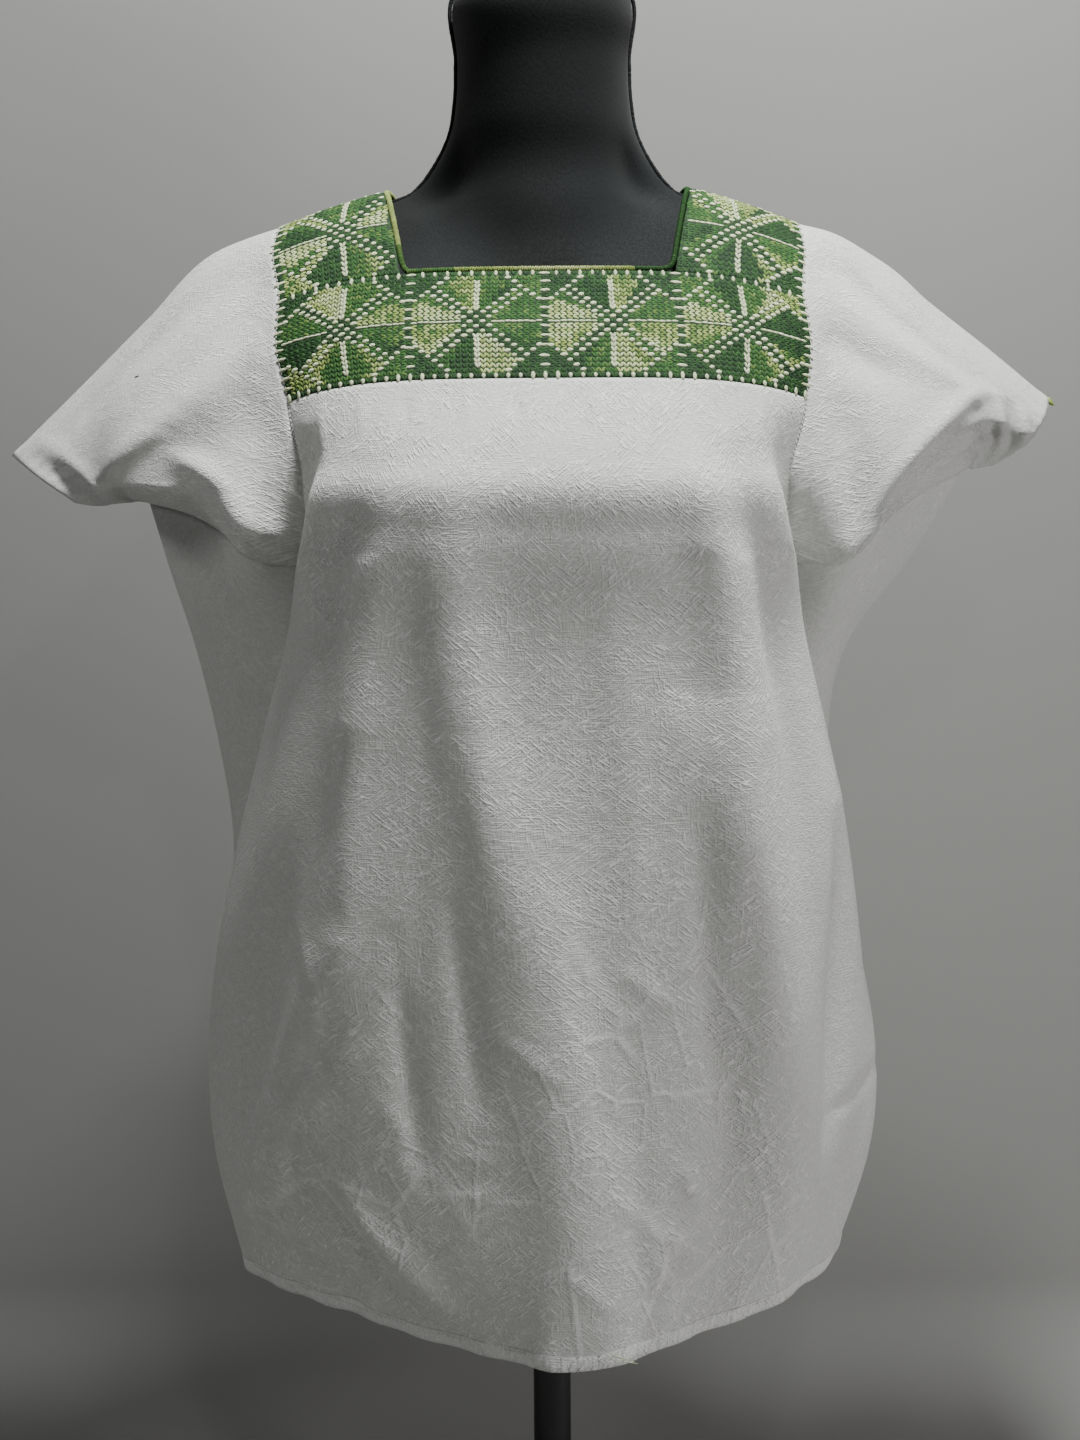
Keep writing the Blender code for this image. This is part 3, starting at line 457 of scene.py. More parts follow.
def fold_height(run, u, half_length):
    """How far the folds lift the cloth along one section."""
    height = np.zeros_like(u)
    for fold in FOLDS:
        share = (run - fold.begin) / (fold.end - fold.begin)
        if 0 < share < 1:
            middle = fold.u_begin + (fold.u_end - fold.u_begin) * share
            away = (u - middle) * half_length / fold.width
            swell = math.sin(math.pi * share ** FOLD_LEAN) ** FOLD_SLOWNESS
            height += fold.height * swell * np.exp(-away * away)
    return height


def trunk(runs, us):
    """Points of the blouse's centre: runs along the cloth from the shoulder, us across from seam to seam."""
    us = np.asarray(us, float)
    rows = []
    for run in runs:
        row = read(TRUNK, "run", run)
        points = np.zeros((len(us), 3))
        for side in (-1, 1):
            pick = us > 0 if side > 0 else us <= 0
            x, y, along = half_section(row, side)
            at = np.abs(us[pick]) * along[-1]
            i = np.clip(np.searchsorted(along, at), 1, len(along) - 1)
            dx, dy = x[i] - x[i - 1], y[i] - y[i - 1]
            lift = fold_height(run, us[pick], along[-1]) / np.hypot(dx, dy)
            front = math.copysign(1.0, -run)
            z_side = row.z_plus if side > 0 else row.z_minus
            z = row.z_mid + (z_side - row.z_mid) * np.abs(us[pick]) ** row.bow
            points[pick] = np.stack([
                side * (np.interp(at, along, x) + front * dy * lift),
                np.interp(at, along, y) - front * dx * lift,
                SHOULDER_HEIGHT + z,
            ], -1)
        rows.append(points)
    return np.array(rows)


def ring(station, a):
    """Points of a sleeve ring. a runs from -1 at the front low edge, over the fold at 0, to 1 at the back."""
    b = np.abs(a)
    back = a > 0
    low_y = np.where(back, station.low_back, station.low_front)
    swell = np.where(back, station.back, -station.front)
    peak = np.where(back, station.peak_back, station.peak_front)
    rise = np.sin(math.pi / 2 * np.clip(b / peak, 0, 1) ** RING_RISE)
    fall = np.cos(math.pi / 2 * np.clip((b - peak) / (1 - peak), 0, 1) ** RING_FALL)
    return np.stack([
        station.top_x + (station.low_x - station.top_x) * b,
        station.top_y + (low_y - station.top_y) * b + swell * rise * fall,
        SHOULDER_HEIGHT + station.top_z + (station.low_z - station.top_z) * b ** station.ease
        - np.where(back, station.sag, 0) * np.sin(math.pi * b),
    ], -1)


def sleeve(stations, ridges, side, runs, shares):
    """Points of a sleeve: runs pick the threads that start at the armhole, shares how far out they are."""
    runs, shares = np.asarray(runs, float), np.asarray(shares, float)
    a = np.where(runs > 0, runs / BACK_UNDERARM, runs / -FRONT_UNDERARM)
    keys = [0.0] + [s.share for s in stations]
    armhole = trunk(runs, [side])[:, 0]
    points = along_table(np.array([armhole] + [ring(s, a) for s in stations]), keys, shares)
    p, q = np.meshgrid(shares * SLEEVE_LENGTH, runs, indexing="ij")
    held = smooth_step(0.0, SEAM_HOLD, shares)[:, None]
    for ridge in ridges:
        begin = np.array([ridge.share_begin * SLEEVE_LENGTH, ridge.run_begin])
        end = np.array([ridge.share_end * SLEEVE_LENGTH, ridge.run_end])
        lift = ridge.height * bump_along(p, q, begin, end, ridge.width) * held
        points[..., 1] += np.sign(ridge.run_begin) * lift
    return points


def gore(stations, ridges, side, shares, gs):
    """Points of a side gore: shares down from the underarm to the hem, gs across from front seam to back."""
    shares, gs = np.asarray(shares, float), np.asarray(gs, float)
    front = trunk(FRONT_UNDERARM + (FRONT_HEM - FRONT_UNDERARM) * shares, [side])
    back = trunk(BACK_UNDERARM + (BACK_HEM - BACK_UNDERARM) * shares, [side])
    wings = [read(WINGS, "share", share) for share in shares]
    out = [side * (w.plus if side > 0 else w.minus) for w in wings]
    middle = np.array([(x, w.y, SHOULDER_HEIGHT + w.z) for x, w in zip(out, wings)])[:, None]
    g = gs[None, :, None]
    control = 2 * middle - (front + back) / 2
    plain = front * (1 - g) ** 2 + 2 * g * (1 - g) * control + back * g * g
    under = stations[2].share
    upper = np.array([
        sleeve(stations, ridges, side, [FRONT_UNDERARM if v <= 0.5 else BACK_UNDERARM],
               [under * (2 * v if v <= 0.5 else 2 - 2 * v)])[0, 0]
        for v in gs
    ])
    settle = np.clip(1 - shares / (SETTLE_LEFT if side > 0 else SETTLE_RIGHT), 0, 1)[:, None, None] ** 2
    return plain + (upper - plain[0])[None] * settle


def neck_u(run, side):
    """Where the neck's edge lies across the strap at that distance from the shoulder line."""
    reach = BACK_NECK if run > 0 else -FRONT_NECK
    half = NECK_HALF_WIDTH + NECK_FLARE * (1 - abs(run) / reach) + side * NECK_SHIFT
    across = np.linspace(0.0, 1.0, 201)[1:]
    return side * float(np.interp(half, np.abs(trunk([run], side * across)[0, :, 0]), across))


def flat_half(run):
    """Half the flat width of the centre of the blouse at that distance from the shoulder line."""
    return float(np.interp(abs(run), (abs(FRONT_UNDERARM), abs(FRONT_HEM)), (HALF_YOKE, HALF_HEM)))


def flat_places(runs, us):
    """Where each point of a centre panel lies in the flat cloth, in metres."""
    return np.array([[(u * flat_half(run), run) for u in us] for run in runs])


def creased(grid, flat, creases):
    """The grid with smaller creases set in it."""
    lift = np.zeros(grid.shape[:2])
    for crease in creases:
        begin = np.array([crease.x_begin, crease.y_begin])
        end = np.array([crease.x_end, crease.y_end])
        lift += crease.height * bump_along(flat[..., 0], flat[..., 1], begin, end, crease.width)
    return grid + grid_normals(grid) * lift[..., None]


def turned_hem(grid, normals, distance, settings, seed, pull=1.0):
    """The hem's double layer stands a little proud and waves between its stitches.

    distance is how far each row lies from the cloth's edge, pull how strongly the thread gathers it.
    """
    draw = np.random.default_rng(seed)
    count = grid.shape[1]
    wave = np.cumsum(draw.normal(0, 1, count))
    wave -= np.linspace(wave[0], wave[-1], count)
    ripple = np.sin(np.cumsum(draw.uniform(0.25, 0.75, count)))
    sway = HEM_RIPPLE * ripple + (1 - HEM_RIPPLE) * wave / (np.abs(wave).max() + TINY)
    ends = np.clip(np.minimum(np.arange(count), np.arange(count)[::-1]) / HEM_END_CELLS, 0, 1)
    inside = 1 - smooth_step(settings.hem_width * 0.9, settings.hem_width * 1.1, distance)
    fading = 1 - smooth_step(0.0, settings.hem_width * HEM_FADE, distance)
    stitch = np.exp(-((distance - settings.hem_width * HEM_STITCH_LINE) / HEM_STITCH_REACH) ** 2)
    lift = (inside * HEM_PROUD - stitch * HEM_STITCH_SINK)[:, None]
    lift = lift + (fading * settings.pucker * pull)[:, None] * (sway * ends)[None, :]
    return grid + normals * lift[..., None]


# ---- pieces ----------------------------------------------------------------------------------------------

def put(name, data, look=None):
    """A new object in the scene, with its material."""
    if look:
        data.materials.append(look)
    made = bpy.data.objects.new(name, data)
    bpy.context.scene.collection.objects.link(made)
    return made


def new_mesh(name, points, faces):
    """A smooth shaded mesh."""
    mesh = bpy.data.meshes.new(name)
    mesh.from_pydata(points, [], faces)
    mesh.shade_smooth()
    return mesh


def plain_mesh(piece):
    """The piece's modifiers are applied and removed."""
    depsgraph = bpy.context.evaluated_depsgraph_get()
    data = bpy.data.meshes.new_from_object(
        piece.evaluated_get(depsgraph), preserve_all_data_layers=True, depsgraph=depsgraph)
    data.name = piece.name
    piece.modifiers.clear()
    piece.data = data
    return piece


def cloth_piece(name, grid, flat, look, thickness, flip=False):
    """A shell whose middle is the grid. flat holds each point's place in the flat cloth, in metres."""
    rows, columns = grid.shape[:2]
    index = np.arange(rows * columns).reshape(rows, columns)
    faces = np.stack([index[:-1, :-1], index[:-1, 1:], index[1:, 1:], index[1:, :-1]], -1).reshape(-1, 4)
    if flip:
        faces = faces[:, ::-1]
    mesh = new_mesh(name, grid.reshape(-1, 3).tolist(), faces.tolist())
    layer = mesh.uv_layers.new(name="cloth")
    layer.data.foreach_set("uv", flat.reshape(-1, 2)[faces.ravel()].ravel())
    piece = put(name, mesh, look)
    wall = piece.modifiers.new("wall", "SOLIDIFY")
    wall.thickness = thickness
    wall.offset = 0
    wall.use_even_offset = False
    return plain_mesh(piece)


def loft(name, rings, look):
    """A closed solid through rings that all have the same number of points."""
    sides = len(rings[0])
    points = [point for ring in rings for point in ring]
    faces = [tuple(reversed(range(sides))), tuple(range(len(points) - sides, len(points)))]
    for level in range(len(rings) - 1):
        for i in range(sides):
            j, k = (i + 1) % sides, level * sides
            faces.append((k + i, k + j, k + sides + j, k + sides + i))
    mesh = new_mesh(name, points, faces)
    mesh.set_sharp_from_angle(angle=math.radians(50))
    return put(name, mesh, look)


def belongs(piece, slot, *nodes):
    """The piece moves with the blouse and stands for these nodes. Its slot is not used."""
    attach(piece, "root")
    if nodes:
        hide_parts(*nodes)
    return piece


# ---- materials -------------------------------------------------------------------------------------------

class Nodes:
    """Adds nodes to a tree and links them in few words."""

    def __init__(self, tree):
        self.tree = tree

    def add(self, kind, settings=None, **inputs):
        node = self.tree.nodes.new(kind)
        for key, value in (settings or {}).items():
            setattr(node, key, value)
        self.feed(node, **inputs)
        return node

    def feed(self, node, **inputs):
        """Links or sets inputs by name; an underscore stands for a space."""
        for label, value in inputs.items():
            self.give(node.inputs[label.replace("_", " ")], value)

    def give(self, socket, value):
        """Links or sets one input."""
        if isinstance(value, bpy.types.NodeSocket):
            self.tree.links.new(value, socket)
        else:
            socket.default_value = value

    def math(self, operation, a, b=0.0, clamp=False):
        node = self.add("ShaderNodeMath", {"operation": operation, "use_clamp": clamp})
        self.give(node.inputs[0], a)
        self.give(node.inputs[1], b)
        return node.outputs[0]

    def plus(self, a, b):
        return self.math("ADD", a, b)

    def less(self, a, b):
        return self.math("SUBTRACT", a, b)

    def times(self, a, b):
        return self.math("MULTIPLY", a, b)

    def limited(self, value):
        """The value, kept between 0 and 1."""
        return self.math("MULTIPLY", value, 1.0, True)

    def span(self, value, low, high, to_low=0.0, to_high=1.0):
        """A smooth step from low to high."""
        node = self.add("ShaderNodeMapRange", {"interpolation_type": "SMOOTHSTEP"}, Value=value, From_Min=low,
                        From_Max=high, To_Min=to_low, To_Max=to_high)
        return node.outputs["Result"]

    def noise(self, vector, scale, detail=2.0, rough=0.5):
        node = self.add("ShaderNodeTexNoise", None, Vector=vector, Scale=scale, Detail=detail,
                        Roughness=rough, Distortion=0.0)
        return node.outputs["Fac"]

    def mapping(self, vector, turn=0.0, scale=(1, 1, 1)):
        node = self.add("ShaderNodeMapping", None, Vector=vector, Scale=scale,
                        Rotation=(0, 0, math.radians(turn)))
        return node.outputs["Vector"]

    def mixed(self, low, high, factor):
        """A colour between two others."""
        node = self.add("ShaderNodeMix", {"data_type": "RGBA"})
        for i, value in ((0, factor), (6, low), (7, high)):
            self.give(node.inputs[i], value)
        return node.outputs[2]

    def own_place(self):
        return self.add("ShaderNodeTexCoord").outputs["Object"]

    def own_map(self, name):
        return self.add("ShaderNodeUVMap", {"uv_map": name}).outputs["UV"]

    def surface(self, shader, colour, height, strength, depth, rough, specular, sheen=0.0):
        """Gives the shader its colour, its fine relief, its roughness and its plain values."""
        relief = self.add("ShaderNodeBump", None, Height=height, Strength=strength, Distance=depth)
        self.feed(shader, Base_Color=colour, Normal=relief.outputs["Normal"], Roughness=rough)
        shader.inputs["Specular IOR Level"].default_value = specular
        shader.inputs["Sheen Weight"].default_value = sheen


def shaded(colour, factor=1.0):
    """The colour, lighter or darker, with its alpha."""
    return (*(c * factor for c in colour), 1)


def group_named(name, inputs, outputs, build):
    """The shader node group of that name, made once: build(nodes, its inputs) gives what it puts out."""
    found = bpy.data.node_groups.get(name)
    if found:
        return found
    group = bpy.data.node_groups.new(name, "ShaderNodeTree")
    for label, value in inputs.items():
        kind = "NodeSocketVector" if value is None else "NodeSocketFloat"
        socket = group.interface.new_socket(name=label, in_out="INPUT", socket_type=kind)
        if value is not None:
            socket.default_value = value
    for label in outputs:
        group.interface.new_socket(name=label, in_out="OUTPUT", socket_type="NodeSocketFloat")
    n = Nodes(group)
    given = n.add("NodeGroupInput").outputs
    n.add("NodeGroupOutput", None, **build(n, given))
    return group


# The crinkled middle of the front and back, in the flat cloth: its edges towards the wearer's right and left,
# and the distances from the shoulder above and below which it widens.
MIDDLE_RIGHT = (-0.095, -0.073)
MIDDLE_LEFT = (0.100, 0.140)
MIDDLE_WIDENS_ABOVE = 0.36
MIDDLE_WIDENS_BELOW = 0.60
TURNED_HEM = (0.7495, 0.7510)    # where the hem's double layer begins
CRUMPLED = (0.34, 0.62)          # where the crumples set in
THREAD_COUNT = 1150              # noise steps in a metre across the threads, and along them
THREAD_RUN = 240

Crinkle = namedtuple("Crinkle", "turn along across weight")
# The directions of the fine crinkles, in degrees, and their noise steps in a metre along and across them.
CRINKLES = [Crinkle(*row) for row in (
    (45, 105, 780, 1.0),
    (-45, 100, 760, 1.0),
    (52, 160, 1050, 0.7),
    (-40, 150, 1000, 0.7),
    (3, 120, 800, 0.4),
    (88, 120, 800, 0.4),
)]
Crumple = namedtuple("Crumple", "turn cells crest weight")
# The broken facets of the low cloth: their direction, cells in a metre, and the width of their crests.
CRUMPLES = [Crumple(*row) for row in (
    (20, 24.0, 0.055, 1.0),
    (-35, 46.0, 0.070, 0.7),
)]


def smooth_planes(n, cloth, far_across, far_down, amount):
    """1 on the smooth planes beside the crinkled middle of the cloth."""
    ragged = n.plus(far_across, n.times(n.noise(cloth, 60.0), 0.030))
    low = n.math("MAXIMUM", n.less(far_down, MIDDLE_WIDENS_BELOW), 0.0)
    high = n.math("MAXIMUM", n.less(MIDDLE_WIDENS_ABOVE, far_down), 0.0)
    wider_right = n.plus(n.times(low, 0.9), n.times(high, 0.6))
    wider_left = n.plus(n.times(low, 0.4), n.times(high, 0.7))
    middle = n.times(n.span(n.plus(ragged, wider_right), *MIDDLE_RIGHT),
                     n.span(n.less(ragged, wider_left), *MIDDLE_LEFT, 1.0, 0.0))
    return n.times(n.less(1.0, middle), amount)


def fine_crinkles(n, cloth, amount, flat):
    """Crossing lines of fine crinkles in patches, few of them on the smooth planes."""
    crinkle = 0.0
    for row in CRINKLES:
        stretched = n.mapping(n.mapping(cloth, row.turn), 0, (row.along, row.across, 1))
        crest = n.span(n.noise(stretched, 1.0, 0.0), 0.56, 0.72)
        there = n.span(n.noise(n.mapping(cloth, row.turn * 0.3), 36.0), 0.42, 0.58)
        crinkle = n.plus(crinkle, n.times(n.times(crest, there), row.weight))
    return n.times(n.times(crinkle, amount), n.less(1.0, n.times(flat, 0.78)))


def low_crumples(n, cloth, far_down, amount, flat):
    """Broken facets with sharp crests, low on the cloth and off the smooth planes."""
    low = n.times(n.span(far_down, *CRUMPLED), n.less(1.0, flat))
    crumple = 0.0
    for row in CRUMPLES:
        cells = n.add("ShaderNodeTexVoronoi", {"feature": "DISTANCE_TO_EDGE"}, Scale=row.cells,
                      Vector=n.mapping(cloth, row.turn, (1.0, 0.62, 1)))
        crest = n.span(cells.outputs["Distance"], 0.0, row.crest, 1.0, 0.0)
        there = n.span(n.noise(n.mapping(cloth, row.turn), 13.0, 1.0), 0.46, 0.62)
        crumple = n.plus(crumple, n.times(n.times(crest, there), row.weight))
    return n.times(n.times(crumple, low), amount)


def slub_weave(n, given):
    """Plain hand-loom weave with slubs along both threads, crinkles, crumples and the gathers of the hem. The
    crests of the crinkles and crumples are painted paler, a painted highlight.
    """
    cloth = given["Cloth"]
    place = n.add("ShaderNodeSeparateXYZ", None, Vector=cloth)
    far_down = n.math("ABSOLUTE", place.outputs["Y"])
    flat = smooth_planes(n, cloth, place.outputs["X"], far_down, given["Planes"])
    crinkle = fine_crinkles(n, cloth, given["Crinkle"], flat)
    crumple = low_crumples(n, cloth, far_down, given["Crumple"], flat)
    warp = n.noise(n.mapping(cloth, 0, (THREAD_COUNT, THREAD_RUN, 1)), 1.0, 1.0)
    weft = n.noise(n.mapping(cloth, 0, (THREAD_RUN, THREAD_COUNT, 1)), 1.0, 1.0)
    weave = n.times(n.plus(warp, weft), given["Weave"])
    soft = n.noise(cloth, 22.0, 3.0, 0.6)
    turned = n.times(n.span(far_down, *TURNED_HEM), given["Planes"])
    gathers = n.noise(n.mapping(cloth, 12, (300, 34, 1)), 1.0, 1.0)
    height = n.plus(n.plus(crinkle, n.times(weave, 0.8)), n.plus(n.times(soft, 2.2), n.times(crumple, 1.3)))
    height = n.plus(height, n.times(n.times(turned, gathers), 4.5))
    threads = n.plus(n.span(warp, 0.25, 0.75), n.span(weft, 0.25, 0.75))
    # painted highlight: the crests of the crinkles and crumples are painted paler; the slubbed threads and
    # the turned hem's double layer are the cloth's own tone
    pale = n.plus(n.times(threads, 0.24), n.times(crinkle, 0.90))
    pale = n.plus(pale, n.times(crumple, 0.35))
    pale = n.plus(pale, n.times(turned, 0.40))
    return {"Height": height, "Slub": n.limited(crinkle), "Shade": n.limited(pale)}


def thread_twist(n, given):
    """Fine plies along a strand, from its own strand map: U round it, V along it; the second output marks the
    grooves between the plies for painted shade.
    """
    split = n.add("ShaderNodeSeparateXYZ", None, Vector=given["Strand"])
    turn = n.plus(n.times(split.outputs["X"], given["Plies"]), n.times(split.outputs["Y"], 2.0))
    wave = n.math("SINE", n.times(turn, 2 * math.pi))
    return {"Height": wave, "Groove": n.span(wave, -0.9, 0.2, 1.0, 0.0)}


def material(name, make):
    """The material of that name, made once."""
    found = bpy.data.materials.get(name)
    if found:
        return found
    made = bpy.data.materials.new(name)
    made.use_nodes = True
    make(Nodes(made.node_tree), made.node_tree.nodes["Principled BSDF"])
    return made


def cotton_look(name, crinkle, weave, crumple, planes, settings):
    """White slubbed cotton, read along the cloth's own flat map."""
    def make(n, shader):
        group = group_named("slub_weave", {"Cloth": None, "Crinkle": 1.0, "Weave": 1.0, "Crumple": 1.0,
                                           "Planes": 0.0}, ("Height", "Slub", "Shade"), slub_weave)
        grain = n.add("ShaderNodeGroup", {"node_tree": group}, Cloth=n.own_map("cloth"), Crinkle=crinkle,
                      Weave=weave, Crumple=crumple, Planes=planes).outputs
        # the cloth's colour runs from dull to pale with the weave's own tone and with the painted highlight
        # on the crests of its crinkles and crumples
        pale = (*(min(c * 1.18, 0.94) for c in settings.cotton), 1)
        n.surface(shader, n.mixed(shaded(settings.cotton, 0.76), pale, grain["Shade"]), grain["Height"],
                  strength=1.0, depth=settings.crinkle_depth,
                  rough=n.span(grain["Slub"], 0.0, 1.0, 0.92, 0.80), specular=0.25, sheen=0.12)
    return material(name, make)


def thread_look(name, settings):
    """Mercerised thread in five shades, picked by each stitch's own shade value, with painted shade in the
    grooves between its plies.
    """
    def make(n, shader):
        shade = n.add("ShaderNodeAttribute", {"attribute_name": "shade"}).outputs["Fac"]
        ramp = n.add("ShaderNodeValToRGB", None, Fac=shade)
        colours = [settings.dark, settings.middle, settings.lime, settings.cream, settings.white]
        elements = ramp.color_ramp.elements
        while len(elements) < len(colours):
            elements.new(0.5)
        for i, dye in enumerate(colours):
            elements[i].position = i / (len(colours) - 1)
            elements[i].color = shaded(dye)
        group = group_named("thread_twist", {"Strand": None, "Plies": 3.0}, ("Height", "Groove"),
                            thread_twist)
        twist = n.add("ShaderNodeGroup", {"node_tree": group}, Strand=n.own_map("strand"), Plies=4.0).outputs
        patchy = n.span(n.noise(n.own_place(), 130.0), 0.3, 0.7)
        # painted shade in the grooves between the plies, plus darker patches at random
        dark = n.plus(n.times(twist["Groove"], 0.22), n.times(patchy, 0.18))
        n.surface(shader, n.mixed(ramp.outputs["Color"], (0.02, 0.03, 0.015, 1), dark), twist["Height"],
                  strength=0.6, depth=0.00012, rough=n.span(patchy, 0, 1, 0.62, 0.74), specular=0.22,
                  sheen=0.03)
    return material(name, make)


def ground_look(settings):
    """The cloth under the stitches: packed green thread, its relief too fine to model, painted dark as
    painted shade in the gaps between the stitches.
    """
    def make(n, shader):
        packed = n.noise(n.mapping(n.own_map("cloth"), 0, (520, 260, 1)), 1.0)
        # painted shade: the ground shows only in the gaps between the stitches, so it is painted darker than
        # the darkest thread
        shade = n.mixed(shaded(settings.dark, 0.55), shaded(settings.middle), n.span(packed, 0.4, 0.8))
        n.surface(shader, shade, packed, strength=1.0, depth=0.0004,
                  rough=n.span(packed, 0.3, 0.7, 0.80, 0.90), specular=0.5)
    return material("yoke_ground", make)


def jersey_look(settings):
    """Black knitted cover: fine ribs of loops, with a trace of lint."""
    def make(n, shader):
        place = n.own_place()
        ribs = n.noise(n.mapping(place, 0, (900, 900, 420)), 1.0, 1.0)
        lint = n.span(n.noise(place, 210.0, 3.0, 0.7), 0.66, 0.80)
        broad = n.span(n.noise(place, 9.0), 0.3, 0.7)
        shade = n.mixed(shaded(settings.jersey, 0.75), shaded(settings.jersey, 1.5), broad)
        n.surface(shader, n.mixed(shade, (0.05, 0.055, 0.06, 1), n.times(lint, 0.25)), ribs, strength=0.5,
                  depth=0.0003, rough=n.span(ribs, 0.3, 0.7, 0.82, 0.94), specular=0.30, sheen=0.04)
    return material("form_jersey", make)


def metal_look(settings):
    """Black powder-coated steel."""
    def make(n, shader):
        place = n.own_place()
        wear = n.span(n.noise(place, 26.0, 4.0, 0.65), 0.55, 0.80)
        shade = n.mixed(shaded(settings.metal), (0.030, 0.031, 0.033, 1), n.times(wear, 0.5))
        n.surface(shader, shade, n.noise(place, 900.0), strength=0.4, depth=0.00015,
                  rough=n.span(wear, 0, 1, 0.38, 0.55), specular=0.5)
    return material("stand_enamel", make)


def backdrop_look():
    """Plain matt paper. Seen from its back it is clear, so the blouse can be looked at from every side."""
    def make(n, shader):
        cloud = n.noise(n.own_place(), 1.6, 3.0)
        n.feed(shader, Base_Color=n.mixed((0.300, 0.299, 0.296, 1), (0.345, 0.344, 0.341, 1), cloud))
        shader.inputs["Roughness"].default_value = 0.95
        shader.inputs["Specular IOR Level"].default_value = 0.15
        either = n.add("ShaderNodeMixShader", None,
                       Fac=n.add("ShaderNodeNewGeometry").outputs["Backfacing"])
        n.give(either.inputs[1], shader.outputs["BSDF"])
        n.give(either.inputs[2], n.add("ShaderNodeBsdfTransparent").outputs["BSDF"])
        n.feed(n.tree.nodes["Material Output"], Surface=either.outputs["Shader"])
    return material("studio_backdrop", make)


# ---- stitches --------------------------------------------------------------------------------------------

def scatter_tree():
    """Geometry nodes: one stitch on every point, turned and sized by the point's own values."""
    found = bpy.data.node_groups.get("stitch_scatter")
    if found:
        return found
    tree = bpy.data.node_groups.new("stitch_scatter", "GeometryNodeTree")
    for label, kind in (("Geometry", "Geometry"), ("Stitch", "Object"), ("Fullness", "Float"),
                        ("Unevenness", "Float"), ("Thread", "Material")):
        tree.interface.new_socket(name=label, in_out="INPUT", socket_type="NodeSocket" + kind)
    tree.interface.new_socket(name="Geometry", in_out="OUTPUT", socket_type="NodeSocketGeometry")
    n = Nodes(tree)
    given = n.add("NodeGroupInput").outputs
    stitch = n.add("GeometryNodeObjectInfo", {"transform_space": "ORIGINAL"}, Object=given["Stitch"],
                   As_Instance=True)
    turn, size = (n.add("GeometryNodeInputNamedAttribute", {"data_type": "FLOAT_VECTOR"},
                        Name=name).outputs["Attribute"] for name in ("turn", "size"))
    rotation = n.add("FunctionNodeEulerToRotation", None, Euler=turn).outputs[0]
    chance = n.add("FunctionNodeRandomValue", {"data_type": "FLOAT"}, Seed=7)
    n.give(chance.inputs[2], -1.0)
    n.give(chance.inputs[3], 1.0)
    uneven = n.times(chance.outputs[1], given["Unevenness"])
    scaled = n.add("ShaderNodeVectorMath", {"operation": "SCALE"}, Vector=size,
                   Scale=n.times(n.plus(uneven, 1.0), given["Fullness"]))
    placed = n.add("GeometryNodeInstanceOnPoints", None, Points=given["Geometry"],
                   Instance=stitch.outputs["Geometry"], Rotation=rotation, Scale=scaled.outputs["Vector"])
    real = n.add("GeometryNodeRealizeInstances", None, Geometry=placed.outputs["Instances"])
    finished = n.add("GeometryNodeSetMaterial", None, Geometry=real.outputs["Geometry"],
                     Material=given["Thread"])
    n.add("NodeGroupOutput", None, Geometry=finished.outputs["Geometry"])
    return tree


def stitch_mesh(name, points, faces, maps):
    """A smooth mesh with its strand map, from each point's place on it."""
    mesh = new_mesh(name, points, faces)
    layer = mesh.uv_layers.new(name="strand")
    for loop in mesh.loops:
        layer.data[loop.index].uv = maps[loop.vertex_index]
    return mesh


STRAND_TIP = 0.4                 # how far a strand's ends stand out, as a share of their half width
LOOP_PLIES = 6                   # turns of the plies round a loop


def strand_mesh(name, rings, sides):
    """A closed strand along Y. rings: (place along it, half width, half height)."""
    tips = [ring[0] + sign * ring[1] * STRAND_TIP for ring, sign in ((rings[0], -1), (rings[-1], 1))]
    points, maps = [(0.0, tips[0], 0.0)], [(0.0, rings[0][0])]
    for y, wide, high in rings:
        for k in range(sides):
            angle = 2 * math.pi * k / sides
            points.append((wide * math.cos(angle), y, high * math.sin(angle)))
            maps.append((k / sides, y))
    points.append((0.0, tips[1], 0.0))
    maps.append((0.0, rings[-1][0]))
    last, top = len(points) - 1, 1 + (len(rings) - 1) * sides
    faces = []
    for k in range(sides):
        m = (k + 1) % sides
        faces.append((0, 1 + k, 1 + m))
        for start in range(1, top, sides):
            after = start + sides
            faces.append((start + m, start + k, after + k, after + m))
        faces.append((last, top + m, top + k))
    return stitch_mesh(name, points, faces, maps)


def ring_mesh(name, around, sides, radius, thick):
    """A closed loop of thread round Y."""
    points, faces, maps = [], [], []
    for i in range(around):
        a = 2 * math.pi * i / around
        for k in range(sides):
            b = 2 * math.pi * k / sides
            out = radius + thick * math.cos(b)
            points.append((out * math.cos(a), thick * math.sin(b), out * math.sin(a)))
            maps.append((k / sides, i / around * LOOP_PLIES))
            i2, k2 = (i + 1) % around, (k + 1) % sides
            faces.append((i2 * sides + k, i2 * sides + k2, i * sides + k2, i * sides + k))
    return stitch_mesh(name, points, faces, maps)


STITCHES = {
    "grain": lambda: strand_mesh("grain", [(-0.42, 0.30, 0.32), (-0.15, 0.50, 0.50), (0.15, 0.50, 0.50),
                                           (0.42, 0.30, 0.32)], 5),
    "loop": lambda: ring_mesh("loop", 12, 5, 1.0, 0.30),
}


